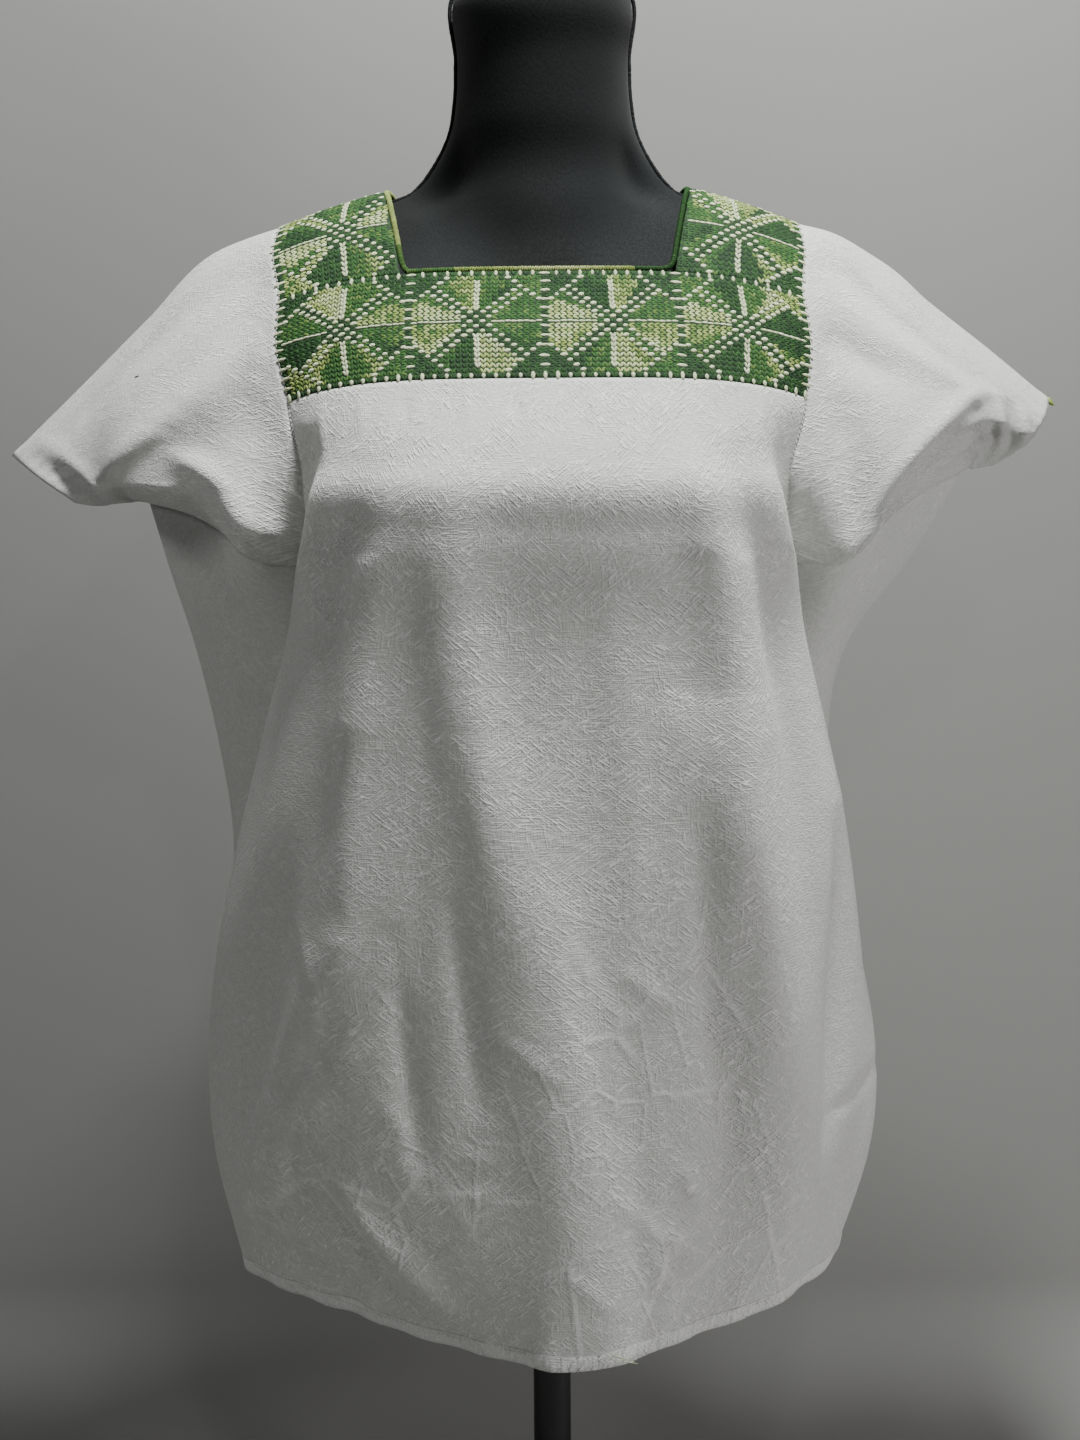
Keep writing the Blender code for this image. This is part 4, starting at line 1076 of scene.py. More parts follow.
class Placed:
    """Gathers where stitches go, then scatters them as one piece."""

    def __init__(self):
        self.points, self.turns, self.sizes, self.shades = [], [], [], []

    def stitch(self, point, along, normal, size, shade):
        """size is width, length and height in metres; along is the stitch's way, normal points outwards."""
        along, normal = Vector(along), Vector(normal)
        side = along.cross(normal).normalized()
        along = normal.cross(side).normalized()
        basis = Matrix((side, along, normal)).transposed()
        self.points.append(tuple(point))
        self.turns += list(basis.to_euler("XYZ"))
        self.sizes += list(size)
        self.shades.append(shade)

    def scatter(self, name, kernel, look, unevenness=0.08):
        """One plain mesh of all the stitches."""
        mesh = bpy.data.meshes.new(name)
        mesh.from_pydata(self.points, [], [])
        for label, kind, key, values in (("turn", "FLOAT_VECTOR", "vector", self.turns),
                                         ("size", "FLOAT_VECTOR", "vector", self.sizes),
                                         ("shade", "FLOAT", "value", self.shades)):
            mesh.attributes.new(label, kind, "POINT").data.foreach_set(key, values)
        piece = put(name, mesh)
        pattern = put(name + "_pattern", STITCHES[kernel]())
        tree = scatter_tree()
        nodes = piece.modifiers.new("stitches", "NODES")
        nodes.node_group = tree
        values = {"Stitch": pattern, "Fullness": 1.0, "Unevenness": unevenness, "Thread": look}
        for item in tree.interface.items_tree:
            if item.in_out == "INPUT" and item.name in values:
                nodes[item.identifier] = values[item.name]
        plain_mesh(piece)
        bpy.data.objects.remove(pattern)
        for spare in ("turn", "size"):
            piece.data.attributes.remove(piece.data.attributes[spare])
        return piece


# ---- the star chart --------------------------------------------------------------------------------------
# Each block is a star of eight half wedges. Its letters give each half wedge's shade near the middle line and
# near the diagonal, in the order: top left, top right, right upper, right lower, bottom right, bottom left,
# left lower, left upper; then the four corners: top right, bottom right, bottom left, top left.
# k is dark green, g middle green, y yellow green, c cream.
STAR_BLOCKS = {
    "front_1": "cy gg yg gk gy gy kk gg k g y k",
    "front_2": "yg gk gg gk cc kg yc cg g k k k",
    "front_3": "kk yk gg yc cy gk cy cg k g k k",
    "front_4": "kg gc kk ky gy kk yg cg y k k g",
    "strap_right": "gk gk cy gk gy kk cg kg k k y y",
    "strap_left": "cg yk kk gy ky kg kg gy y k k g",
    "shoulder_right": "gy kg gc kg cg gk kk yg k g k y",
    "shoulder_left": "kg cy yg gk gg yk gk cg g k y k",
    "back_1": "gy kg cg gk yc kk gg yk k y k g",
    "back_2": "kk cg gy yk gg cy kg gc g k k y",
    "back_3": "cg gk kk yg kc gg yk cy k g y k",
    "back_4": "yg cc gk kg gy yk gg kc k k g y",
    "edge": "kg gk kg gk kg gk kg gk k k k k",
}
SHADES = {"k": 0.0, "g": 0.25, "y": 0.50, "c": 0.75}
BLOCK_CELLS = 22
HALF_BLOCK = 11
KITE_TURN = 15                   # a wedge's outline closes back where its two counts add up to this
CHART_ROWS = (23, 21, 22, 23)    # front yoke, strap front, strap back, back yoke
CHART_MARKS = (FRONT_YOKE, FRONT_NECK, 0.0, BACK_NECK, BACK_YOKE)
CHART_COLUMNS = 89
PALEST_GREEN = 0.84              # the shade value past which the thread turns white

# What a cell of the chart holds: its kind of stitch, its shade, and whether it runs upright.
Stitch = namedtuple("Stitch", "kind shade upright")
# Where a cell lies: its middle, unit directions in the cloth, its normal, and its size in metres.
Cell = namedtuple("Cell", "point right up normal width height")


def chart_cell(name, i, j):
    """What a cell of a block holds, i across and j up from the star's middle."""
    a, b = abs(i), abs(j)
    words = STAR_BLOCKS[name].split()
    upright = b >= a
    if a == HALF_BLOCK:
        return Stitch("dash_across", 1.0, False) if j % 2 else Stitch("fill", 0.0, False)
    if b == HALF_BLOCK:
        return Stitch("dash_up", 1.0, True) if i % 2 else Stitch("fill", 0.0, True)
    if a <= 2 and b <= 2:
        return Stitch("dot", 1.0, upright) if (i + j) % 2 else Stitch("fill", 0.0, upright)
    if abs(a - b) == 1 and max(a, b) <= 8 or a + b == KITE_TURN and max(a, b) >= 8 and min(a, b) >= 4:
        return Stitch("dot", 1.0, upright)
    if i == 0 and 3 <= b <= 9:
        return Stitch("chain", 1.0, True)
    if j == 0 and 3 <= a <= 10:
        return Stitch("line", 1.0, False)
    if a + b > KITE_TURN or a == b:
        corner = (8 if i > 0 else 11) if j > 0 else (9 if i > 0 else 10)
        return Stitch("fill", SHADES[words[corner]], a < b)
    if upright:
        wedge = (0 if i < 0 else 1) if j > 0 else (4 if i > 0 else 5)
        near = a <= 0.5 * min(b, KITE_TURN - b + 2)
    else:
        wedge = (2 if j > 0 else 3) if i > 0 else (6 if j < 0 else 7)
        near = b <= 0.5 * min(a, KITE_TURN - a + 2)
    return Stitch("fill", SHADES[words[wedge][0 if near else 1]], upright)


def chart_runs():
    """Each chart row's place along the cloth and its height, in metres."""
    runs, heights = [], []
    for low, high, count in zip(CHART_MARKS, CHART_MARKS[1:], CHART_ROWS):
        step = (high - low) / count
        runs += [low + step * (i + 0.5) for i in range(count)]
        heights += [step] * count
    return np.array(runs), np.array(heights)


def chart_place(row, column):
    """Which block a cell of the whole chart is in, and its place in that block."""
    across = min(column // BLOCK_CELLS, 3)
    up = min(row // BLOCK_CELLS, 3)
    i, j = column - BLOCK_CELLS * across - HALF_BLOCK, row - BLOCK_CELLS * up - HALF_BLOCK
    if up == 0:
        return f"front_{across + 1}", i, j
    if up == 3:
        return f"back_{across + 1}", i, -j
    if across in (1, 2):
        return "edge", i, j
    return ("strap_" if up == 1 else "shoulder_") + ("left" if across else "right"), i, j


def jitter(draw, amount):
    return float(draw.normal(0, amount))


def fill_stitches(placed, cell, stitch, draw, relief):
    """Two leaning strands side by side, packed like a cross stitch's legs. Shares are of a cell's size."""
    along, over, long, wide = cell.right, cell.up, cell.width, cell.height
    if stitch.upright:
        along, over, long, wide = over, along, wide, long
    tone = stitch.shade + jitter(draw, 0.045) + (0.05 if stitch.shade == 0 else 0)
    if stitch.shade in (SHADES["y"], SHADES["c"]):
        tone += float(draw.choice([-0.14, 0.0, 0.10]))
    for sign in (-1, 1):
        lean = along + over * sign * (0.42 + jitter(draw, 0.05))
        rise = relief * 0.30 + abs(jitter(draw, relief * 0.05))
        at = cell.point + over * sign * wide * 0.25 + cell.normal * rise
        placed.stitch(at, lean, cell.normal, (wide * 0.50, long * 1.12, relief * 1.1),
                      min(max(tone + jitter(draw, 0.03), 0.0), PALEST_GREEN))


def white_stitches(placed, cell, kind, draw, relief):
    """The white stitches that draw the stars and their frames. Shares are of a cell's size and the relief."""
    point, right, up, normal, width, height = cell
    white = min(max(0.96 + jitter(draw, 0.03), PALEST_GREEN), 1.0)
    at = point + normal * relief * 0.62 + (right * width + up * height) * jitter(draw, 0.05)
    across, tall = right + up * jitter(draw, 0.07), up + right * jitter(draw, 0.07)
    pull = 1 + jitter(draw, 0.09)
    if kind == "chain":
        for sign in (-1, 1):
            placed.stitch(at + right * sign * width * 0.23, tall + right * sign * 0.30, normal,
                          (width * 0.52, height * 1.15, relief * 1.3), white)
        return
    way, wide, long, high = {
        "dot": (across + up * 0.18, height * 0.80, width * pull, 1.45),
        "line": (right, height * 0.48, width * 1.12, 1.1),
        "dash_across": (across, height * 0.62, width * 1.75 * pull, 1.3),
        "dash_up": (tall, width * 0.62, height * 1.25 * pull, 1.3),
    }[kind]
    placed.stitch(at, way, normal, (wide, long, relief * high), white)


# ---- the stage -------------------------------------------------------------------------------------------

CAMERA_PLACE = (-0.0048, -1.45, 0.8285)
CAMERA_PITCH, CAMERA_ROLL = 8.0, 0.45    # degrees downwards, and round its own axis
LENS, SENSOR = 55.78, 36.0               # millimetres
BACKDROP_FRONT, BACKDROP_WALL = -2.6, 0.30
BACKDROP_HALF_WIDTH, BACKDROP_TOP = 2.2, 2.4
BACKDROP_BEND, BEND_STEPS = 0.12, 12     # the round between floor and wall
COOL, WARM = (0.975, 1.0, 0.955), (1.0, 0.975, 0.960)
WORLD_COLOUR, WORLD_STRENGTH = (1.0, 0.99, 0.98, 1), 0.008

Lamp = namedtuple("Lamp", "name place aim size power colour")
# aim is the height on the form's axis that a lamp points at.
LAMPS = [Lamp(*row) for row in (
    ("top", (0.18, -0.245, 2.07), 0.80, 0.23, 36.0, COOL),
    ("right_side", (1.40, -0.75, 0.40), 0.28, 0.30, 4.9, WARM),
    ("right_front", (1.20, -1.15, 0.92), 0.60, 0.30, 3.5, WARM),
    ("front", (0.25, -1.90, 1.95), 0.75, 0.16, 2.0, WARM),
    ("left_side", (-1.20, -0.60, 1.30), 0.75, 0.30, 2.2, COOL),
)]


def place_camera(scene):
    lens = bpy.data.cameras.new("camera")
    lens.lens = LENS
    lens.sensor_width = SENSOR
    scene.camera = put("camera", lens)
    scene.camera.matrix_world = (Matrix.Translation(CAMERA_PLACE)
                                 @ Matrix.Rotation(math.radians(90 - CAMERA_PITCH), 4, "X")
                                 @ Matrix.Rotation(math.radians(-CAMERA_ROLL), 4, "Z"))


def hang_backdrop():
    """A sweep of paper: floor, bend and wall."""
    profile = [(BACKDROP_FRONT, 0.0)]
    for k in range(BEND_STEPS + 1):
        a = math.pi / 2 * k / BEND_STEPS
        profile.append((BACKDROP_WALL - BACKDROP_BEND + BACKDROP_BEND * math.sin(a),
                        BACKDROP_BEND - BACKDROP_BEND * math.cos(a)))
    profile.append((BACKDROP_WALL, BACKDROP_TOP))
    points = [(x, y, z) for x in (-BACKDROP_HALF_WIDTH, BACKDROP_HALF_WIDTH) for y, z in profile]
    count = len(profile)
    faces = [(k, count + k, count + k + 1, k + 1) for k in range(count - 1)]
    put("backdrop", new_mesh("backdrop", points, faces), backdrop_look())


def hang_lamp(lamp):
    light = bpy.data.lights.new(lamp.name, "AREA")
    light.shape = "DISK"
    light.size = lamp.size
    light.energy = lamp.power
    light.color = lamp.colour
    hung = put(lamp.name, light)
    hung.location = lamp.place
    hung.rotation_euler = (Vector((0, 0, lamp.aim)) - Vector(lamp.place)).to_track_quat("-Z", "Y").to_euler()


class HUIPIL_OT_stage(bpy.types.Operator):
    """Set up the camera, the backdrop and the studio light"""
    bl_idname = "huipil.stage"
    bl_label = "Stage"

    def execute(self, context):
        place_camera(context.scene)
        hang_backdrop()
        world = bpy.data.worlds.new("studio")
        world.use_nodes = True
        background = world.node_tree.nodes["Background"]
        background.inputs["Color"].default_value = WORLD_COLOUR
        background.inputs["Strength"].default_value = WORLD_STRENGTH
        context.scene.world = world
        for lamp in LAMPS:
            hang_lamp(lamp)
        return {"FINISHED"}


# ---- the dress form and its stand ------------------------------------------------------------------------

FORM_SIDES = 96
FORM_STEP = 0.006                # between the form's levels
FORM_INSET = 0.0004              # how far its cover lies inside the frame's solid
NECK_BLEND = 6                   # exponent that melts the neck's circle into the shoulders
CORD_MARKS = (-0.0375, -0.0015, 0.034, 0.124)    # heights on the form that the corded seams pass
CORD_LINE_STEP = 0.0011          # between the points of its line
CORD_STEP = 0.0016               # between the twists of the cord
CORD_APART = 0.30                # how far its plies lie from its line, as a share of its radius
CORD_LEAN = 0.75                 # how steeply they cross one another
CORD_STITCH = (1.5, 3.0, 1.7)    # width, length and height of a twist, as shares of the radius


def form_ring(row):
    """One level of the dress form, with the bust swelling its front."""
    points = []
    for i in range(FORM_SIDES):
        angle = 2 * math.pi * i / FORM_SIDES
        c, s = math.cos(angle), math.sin(angle)
        x = math.copysign(abs(c) ** (2 / row.pointed), c) * (row.half_width - FORM_INSET)
        y = abs(s) ** (2 / row.pointed) * ((row.back if s > 0 else row.front) - FORM_INSET)
        round_neck = math.sqrt(max(row.neck ** 2 - x * x, 0.0))
        y = math.copysign((y ** NECK_BLEND + round_neck ** NECK_BLEND) ** (1 / NECK_BLEND), s)
        if s < 0:
            for side in (-1, 1):
                away = ((x - side * BUST_APART) ** 2 + (row.z - BUST_Z) ** 2) / BUST_SPREAD ** 2
                y -= BUST_HEIGHT * math.exp(-away)
        points.append((x, SHOULDER_Y + y, SHOULDER_HEIGHT + row.z))
    return points


def neck_cord(name, side, radius, look):
    """The corded seam up one side of the shoulder and neck: two plies that twist over one another."""
    rows = [read(FORM, "z", z) for z in spaced(CORD_MARKS, CORD_LINE_STEP)]
    line = np.array([(side * row.half_width, SHOULDER_Y, SHOULDER_HEIGHT + row.z) for row in rows])
    steps = np.gradient(line, axis=0)
    out = unit(np.stack([-steps[:, 2], np.zeros(len(line)), steps[:, 0]], -1))
    out *= np.where((out[:, 0] * side + out[:, 2]) > 0, 1, -1)[:, None]
    line = line + out * radius * CORD_APART
    along = distances(line)
    cord = Placed()
    for s in spaced([0.0, float(along[-1])], CORD_STEP):
        point, way, outward = (point_at(s, along, source) for source in (line, steps, out))
        for turn in (-1, 1):
            cord.stitch(point + np.array([0, turn * radius * CORD_APART, 0]),
                        unit(way) + np.array([0, turn * CORD_LEAN, 0]) + outward * 0.2, outward,
                        [radius * share for share in CORD_STITCH], 0.0)
    return cord.scatter(name, "grain", look)


class HUIPIL_OT_form(bpy.types.Operator):
    """Build the limbless dress form and its corded seams"""
    bl_idname = "huipil.form"
    bl_label = "Dress form"

    def execute(self, context):
        settings = context.scene.huipil_form
        look = jersey_look(settings)
        heights = spaced([row.z for row in FORM], FORM_STEP)
        body = loft("form_body", [form_ring(read(FORM, "z", z)) for z in heights], look)
        soft = body.modifiers.new("soft", "SMOOTH")
        soft.factor = 0.5
        soft.iterations = 6
        belongs(plain_mesh(body), "jersey", "form_torso")
        for name, side, node in (("neck_cord_right", -1, "neck_welt_right"),
                                 ("neck_cord_left", 1, "neck_welt_left")):
            belongs(neck_cord(name, side, settings.welt_radius, look), "jersey", node)
        return {"FINISHED"}


RoundPart = namedtuple("RoundPart", "name node radius ease")
# The stand's round pieces: the node each stands for, its radius, and how far its rims are rounded.
STAND = [RoundPart(*row) for row in (
    ("stand_plate", "form_plate", 0.085, 0.0025),
    ("stand_collar", "pole_collar", 0.019, 0.0030),
    ("stand_pole", "pole", 0.0127, 0.0004),
    ("stand_boss", "foot_boss", 0.021, 0.0060),
    ("stand_foot", "foot", 0.150, 0.0030),
)]
FOOT_FALL, FOOT_MIDDLE_FALL = 0.0008, 0.0003    # how far its top falls at the rim and half way there
FOOT_FLAT_RADIUS = 0.03
# The collar's screw, from its seat to its head: (radius, distance out).
SCREW_PROFILE = [(0.0001, 0), (0.0042, 0.0002), (0.0050, 0.0010), (0.0050, 0.0055), (0.0045, 0.0062),
                 (0.0020, 0.0064)]
SCREW_SEAT = 0.0185


def turned(name, profile, look, sides=64):
    """A round solid on the stand's axis from its profile of (radius, height), closed at both ends."""
    rings = [[(r * math.cos(2 * math.pi * k / sides), r * math.sin(2 * math.pi * k / sides), z)
              for k in range(sides)] for r, z in profile]
    return loft(name, rings, look)


def eased(radius, low, high, ease):
    """A cylinder's profile with rounded rims."""
    arcs = [[(radius - ease + ease * math.sin(a), z + sign * (ease - ease * math.cos(a)))
             for a in np.linspace(0, math.pi / 2, 5)] for z, sign in ((low, 1), (high, -1))]
    return arcs[0] + arcs[1][::-1]


class HUIPIL_OT_stand(bpy.types.Operator):
    """Build the pole, its collar and the round foot"""
    bl_idname = "huipil.stand"
    bl_label = "Stand"

    def execute(self, context):
        look = metal_look(context.scene.huipil_form)
        for name, node, radius, ease in STAND:
            low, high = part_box(node)
            if node == "foot":
                profile = eased(radius, low.z, high.z - FOOT_FALL, ease)[:-1]
                profile += [(radius * 0.5, high.z - FOOT_MIDDLE_FALL), (FOOT_FLAT_RADIUS, high.z)]
            else:
                profile = eased(radius, low.z, high.z, ease)
            belongs(turned(name, profile, look), "stand", node)
        screw = turned("collar_screw", SCREW_PROFILE, look, 24)
        low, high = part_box("pole_collar")
        screw.data.transform(Matrix.Translation((0, SCREW_SEAT, (low.z + high.z) / 2))
                             @ Matrix.Rotation(math.radians(-90), 4, "X"))
        belongs(screw, "stand")
        return {"FINISHED"}


# ---- the yoke --------------------------------------------------------------------------------------------

GROUND_THICKNESS = 0.0009
STRAP_POINTS = 30                # across a strap, from the neck's edge to the armhole
NECK_MARGIN = 0.006              # no stitch lies this near the neck's edge, in half widths of the yoke
TALL_TEETH = (9, 10, 11)         # columns of a block whose edge teeth are longer
TOOTH_TALL = 1.5                 # their length, in chart rows
TOOTH_WIDTH = 0.70               # a tooth's width, in chart columns
TOOTH_OUT, TOOTH_HEIGHT = 0.7, 1.3    # how far it stands out and its height, in the stitches' relief
TOOTH_SHADE = 0.97


class HUIPIL_OT_yoke(bpy.types.Operator):
    """Build the four parts of the square yoke"""
    bl_idname = "huipil.yoke"
    bl_label = "Yoke"

    def execute(self, context):
        look = ground_look(context.scene.huipil_thread)
        cell = context.scene.huipil_blouse.cloth_cell
        us = spaced([-1.0, 0.0, 1.0], cell / HALF_YOKE)
        for name, node, low, high in (("front_yoke_ground", "yoke_front", FRONT_YOKE, FRONT_NECK),
                                      ("back_yoke_ground", "yoke_back", BACK_NECK, BACK_YOKE)):
            runs = spaced([low, high], cell)
            piece = cloth_piece(name, trunk(runs, us), flat_places(runs, us), look, GROUND_THICKNESS)
            belongs(piece, "embroidery", node)
        runs = spaced([FRONT_NECK, 0.0, BACK_NECK], cell)
        for name, node, side in (("right_strap_ground", "yoke_strap_right", -1),
                                 ("left_strap_ground", "yoke_strap_left", 1)):
            across = [np.linspace(neck_u(run, side), side, STRAP_POINTS) for run in runs]
            grid = np.array([trunk([run], us)[0] for run, us in zip(runs, across)])
            flat = np.array([[(u * HALF_YOKE, run) for u in us] for run, us in zip(runs, across)])
            piece = cloth_piece(name, grid, flat, look, GROUND_THICKNESS, flip=side < 0)
            belongs(piece, "embroidery", node)
        return {"FINISHED"}


def yoke_parts(run, us):
    """The part of the yoke that holds each stitch of a row, or None inside the neck."""
    if not FRONT_NECK < run < BACK_NECK:
        return ["front" if run < 0 else "back"] * len(us)
    low, high = neck_u(run, -1) - NECK_MARGIN, neck_u(run, 1) + NECK_MARGIN
    return ["right" if u <= low else "left" if u >= high else None for u in us]


class HUIPIL_OT_stars(bpy.types.Operator):
    """Cross-stitch the star blocks all over the yoke"""
    bl_idname = "huipil.stars"
    bl_label = "Star stitches"

    def execute(self, context):
        settings = context.scene.huipil_thread
        relief = settings.relief
        draw = np.random.default_rng(3)
        runs, heights = chart_runs()
        columns = -1 + (np.arange(CHART_COLUMNS) + 0.5) * 2 / CHART_COLUMNS
        grid = trunk(runs, columns)
        right = np.gradient(grid, axis=1)
        widths = np.linalg.norm(right, axis=-1)
        right /= widths[..., None]
        up = unit(np.gradient(grid, axis=0))
        normals = np.cross(right, up)
        pieces = {"front": Placed(), "right": Placed(), "left": Placed(), "back": Placed()}
        for r, run in enumerate(runs):
            for c, part in enumerate(yoke_parts(run, columns)):
                if part is None:
                    continue
                cell = Cell(grid[r, c], right[r, c], up[r, c], normals[r, c], widths[r, c], heights[r])
                name, i, j = chart_place(r, c)
                stitch = chart_cell(name, i, j)
                if r in (0, len(runs) - 1):
                    stitch = Stitch("tooth", 1.0, True) if i % 2 else Stitch("fill", 0.0, True)
                if stitch.kind == "tooth":
                    tall = TOOTH_TALL if abs(i) in TALL_TEETH else 1.0
                    size = (cell.width * TOOTH_WIDTH, cell.height * tall, relief * TOOTH_HEIGHT)
                    pieces[part].stitch(cell.point + cell.normal * relief * TOOTH_OUT,
                                        cell.up * (1 if r == 0 else -1), cell.normal, size, TOOTH_SHADE)
                elif stitch.kind == "fill":
                    fill_stitches(pieces[part], cell, stitch, draw, relief)
                else:
                    white_stitches(pieces[part], cell, stitch.kind, draw, relief)
        look = thread_look("yoke_thread", settings)
        for part, placed in pieces.items():
            belongs(placed.scatter(f"{part}_star_stitches", "grain", look), "embroidery")
        return {"FINISHED"}


# ---- the neck's edge -------------------------------------------------------------------------------------

NECK_INSET = 0.0021              # from the neck's edge to the middle of its roll
ROLL_RADIUS = 0.0013
WRAP_RADIUS = 0.00145
WRAP_STEP = 0.00105
WRAP_FRONT, WRAP_BACK = -0.045, 0.075    # depths past which the overcasting is on the front or back edge
WRAP_PALE = 0.055                # half width of the pale stretch in front
WRAP_LEAN = (0.10, 0.10, 0.25)   # how each wrap leans off the edge's own direction
AHEAD = 0.001                    # a line's direction is read this far ahead


def neck_line(inset):
    """The neck's edge as a closed loop, anticlockwise from above, moved in by the inset."""
    def side_edge(side, runs):
        points = [trunk([run], [neck_u(run, side)])[0, 0] for run in runs]
        return [point - np.array([math.copysign(inset, point[0]), 0, 0]) for point in points]

    def end_edge(run, side, slope):
        us = np.linspace(neck_u(run, -side), neck_u(run, side), 41)
        return [point + np.array([0, slope * inset * 0.75, inset * 0.75])
                for point in trunk([run], us)[0][1:-1]]

    runs = spaced([FRONT_NECK, 0.0, BACK_NECK], 0.005)[1:-1]
    return np.array(end_edge(FRONT_NECK, 1, 1) + side_edge(1, runs)
                    + end_edge(BACK_NECK, -1, -1) + side_edge(-1, runs[::-1]))


def closed_cord(name, line, radius, look):
    """A round cord through the points and back to the first."""
    curve = bpy.data.curves.new(name, "CURVE")
    curve.dimensions = "3D"
    curve.bevel_depth = radius
    curve.bevel_resolution = 2
    spline = curve.splines.new("POLY")
    spline.points.add(len(line) - 1)
    for knot, point in zip(spline.points, line):
        knot.co = (*point, 1)
    spline.use_cyclic_u = True
    drawn = put(name, curve, look)
    mesh = bpy.data.meshes.new_from_object(drawn.evaluated_get(bpy.context.evaluated_depsgraph_get()))
    mesh.name = name
    mesh.shade_smooth()
    bpy.data.objects.remove(drawn)
    return put(name, mesh)


def edging_shade(point):
    """The overcasting's shade: pale along the front, mixed behind, dark green on the left strap, and yellow
    green on the right strap past its front corner."""
    x, y = point[:2]
    if y > WRAP_BACK:
        return 0.42 + 0.2 * math.sin(x * 45)
    if y < WRAP_FRONT and abs(x) < WRAP_PALE:
        return 0.60 + 0.14 * math.sin(x * 60 + 1)
    if x > 0:
        return 0.12
    return 0.28 if y < WRAP_FRONT else 0.56


class HUIPIL_OT_edging(bpy.types.Operator):
    """Overcast the neck's rolled edge with thread"""
    bl_idname = "huipil.edging"
    bl_label = "Neck edging"

    def execute(self, context):
        settings = context.scene.huipil_thread
        line = neck_line(NECK_INSET)
        loop = np.concatenate([line, line[:1]])
        for _ in range(2):
            loop[1:-1] = (loop[:-2] + 2 * loop[1:-1] + loop[2:]) / 4
        # the roll shows only between the wraps and takes the ground's painted shade
        roll = closed_cord("neck_roll", loop[:-1], ROLL_RADIUS, ground_look(settings))
        belongs(roll, "edging", "neck_edging")
        along = distances(loop)
        draw = np.random.default_rng(5)
        wraps = Placed()
        for s in spaced([0.0, float(along[-1])], WRAP_STEP)[:-1]:
            here, ahead = point_at(s, along, loop), point_at(s + AHEAD, along, loop)
            lean = unit(ahead - here) + np.array(WRAP_LEAN) + draw.normal(0, 0.05, 3)
            radius = WRAP_RADIUS * float(draw.uniform(0.94, 1.06))
            wraps.stitch(here, lean, (0, -lean[2], lean[1] + 1e-6), (radius, radius * 1.15, radius),
                         min(max(edging_shade(here) + jitter(draw, 0.03), 0), PALEST_GREEN))
        look = thread_look("edging_thread", settings)
        belongs(wraps.scatter("neck_overcasting", "loop", look, 0.0), "edging")
        return {"FINISHED"}


# ---- panels, sleeves and gores ---------------------------------------------------------------------------

PANEL_HALF_WIDTH = 0.235         # mean of a panel's half width, for the size of its cells
GORE_WIDTH, GORE_LENGTH = 0.170, 0.470
SLEEVE_MARKS = (0.0, 0.2, 0.47)  # shares of the sleeve's length that a row of cells falls on
SLEEVE_PULL = 0.35               # how strongly a cuff's thread gathers it, against the hems
SIDES = (("right", RIGHT_SLEEVE, RIGHT_RIDGES, -1), ("left", LEFT_SLEEVE, LEFT_RIDGES, 1))


class HUIPIL_OT_panels(bpy.types.Operator):
    """Build the front and back of white cotton"""
    bl_idname = "huipil.panels"
    bl_label = "Front and back"

    def execute(self, context):
        settings = context.scene.huipil_blouse
        look = cotton_look("panel_cotton", 1.0, 1.0, 1.0, 1.0, settings)
        front = [FRONT_HEM, FRONT_HEM + settings.hem_width, FRONT_UNDERARM, FRONT_YOKE]
        back = [BACK_YOKE, BACK_UNDERARM, BACK_HEM - settings.hem_width, BACK_HEM]
        for word, marks, hem, coarse, creases, seed, area in (
                ("front", front, FRONT_HEM, 1.0, FRONT_CREASES, 11, 0.268),
                ("back", back, BACK_HEM, 1.3, BACK_CREASES, 12, 0.263)):
            cell = settings.cloth_cell * coarse
            us = spaced([-1.0, 0.0, 1.0], cell / PANEL_HALF_WIDTH)
            runs = spaced(marks, cell)
            flat = flat_places(runs, us)
            grid = creased(trunk(runs, us), flat, creases)
            grid = turned_hem(grid, grid_normals(grid), np.abs(runs - hem), settings, seed)
            piece = cloth_piece(f"{word}_cloth", grid, flat, look, settings.cloth_thickness)
            belongs(piece, "cotton", f"{word}_panel")
        return {"FINISHED"}


class HUIPIL_OT_sleeves(bpy.types.Operator):
    """Build the two flat-cut sleeves"""
    bl_idname = "huipil.sleeves"
    bl_label = "Sleeves"

    def execute(self, context):
        settings = context.scene.huipil_blouse
        cell = settings.cloth_cell
        look = cotton_look("sleeve_cotton", 0.75, 1.0, 0.3, 0.0, settings)
        runs = spaced([FRONT_UNDERARM, FRONT_YOKE, 0.0, BACK_YOKE, BACK_UNDERARM], cell)
        shares = spaced([*SLEEVE_MARKS, 1 - settings.hem_width / SLEEVE_LENGTH, 1.0], cell / SLEEVE_LENGTH)
        flat = np.array([[(run, share * SLEEVE_LENGTH) for run in runs] for share in shares])
        for word, stations, ridges, side in SIDES:
            grid = sleeve(stations, ridges, side, runs, shares)
            grid = turned_hem(grid, grid_normals(grid) * -side, (1 - shares) * SLEEVE_LENGTH, settings,
                              20 + side, SLEEVE_PULL)
            piece = cloth_piece(f"{word}_sleeve_cloth", grid, flat, look, settings.cloth_thickness,
                                flip=side > 0)
            belongs(piece, "cotton", f"sleeve_{word}")
        return {"FINISHED"}


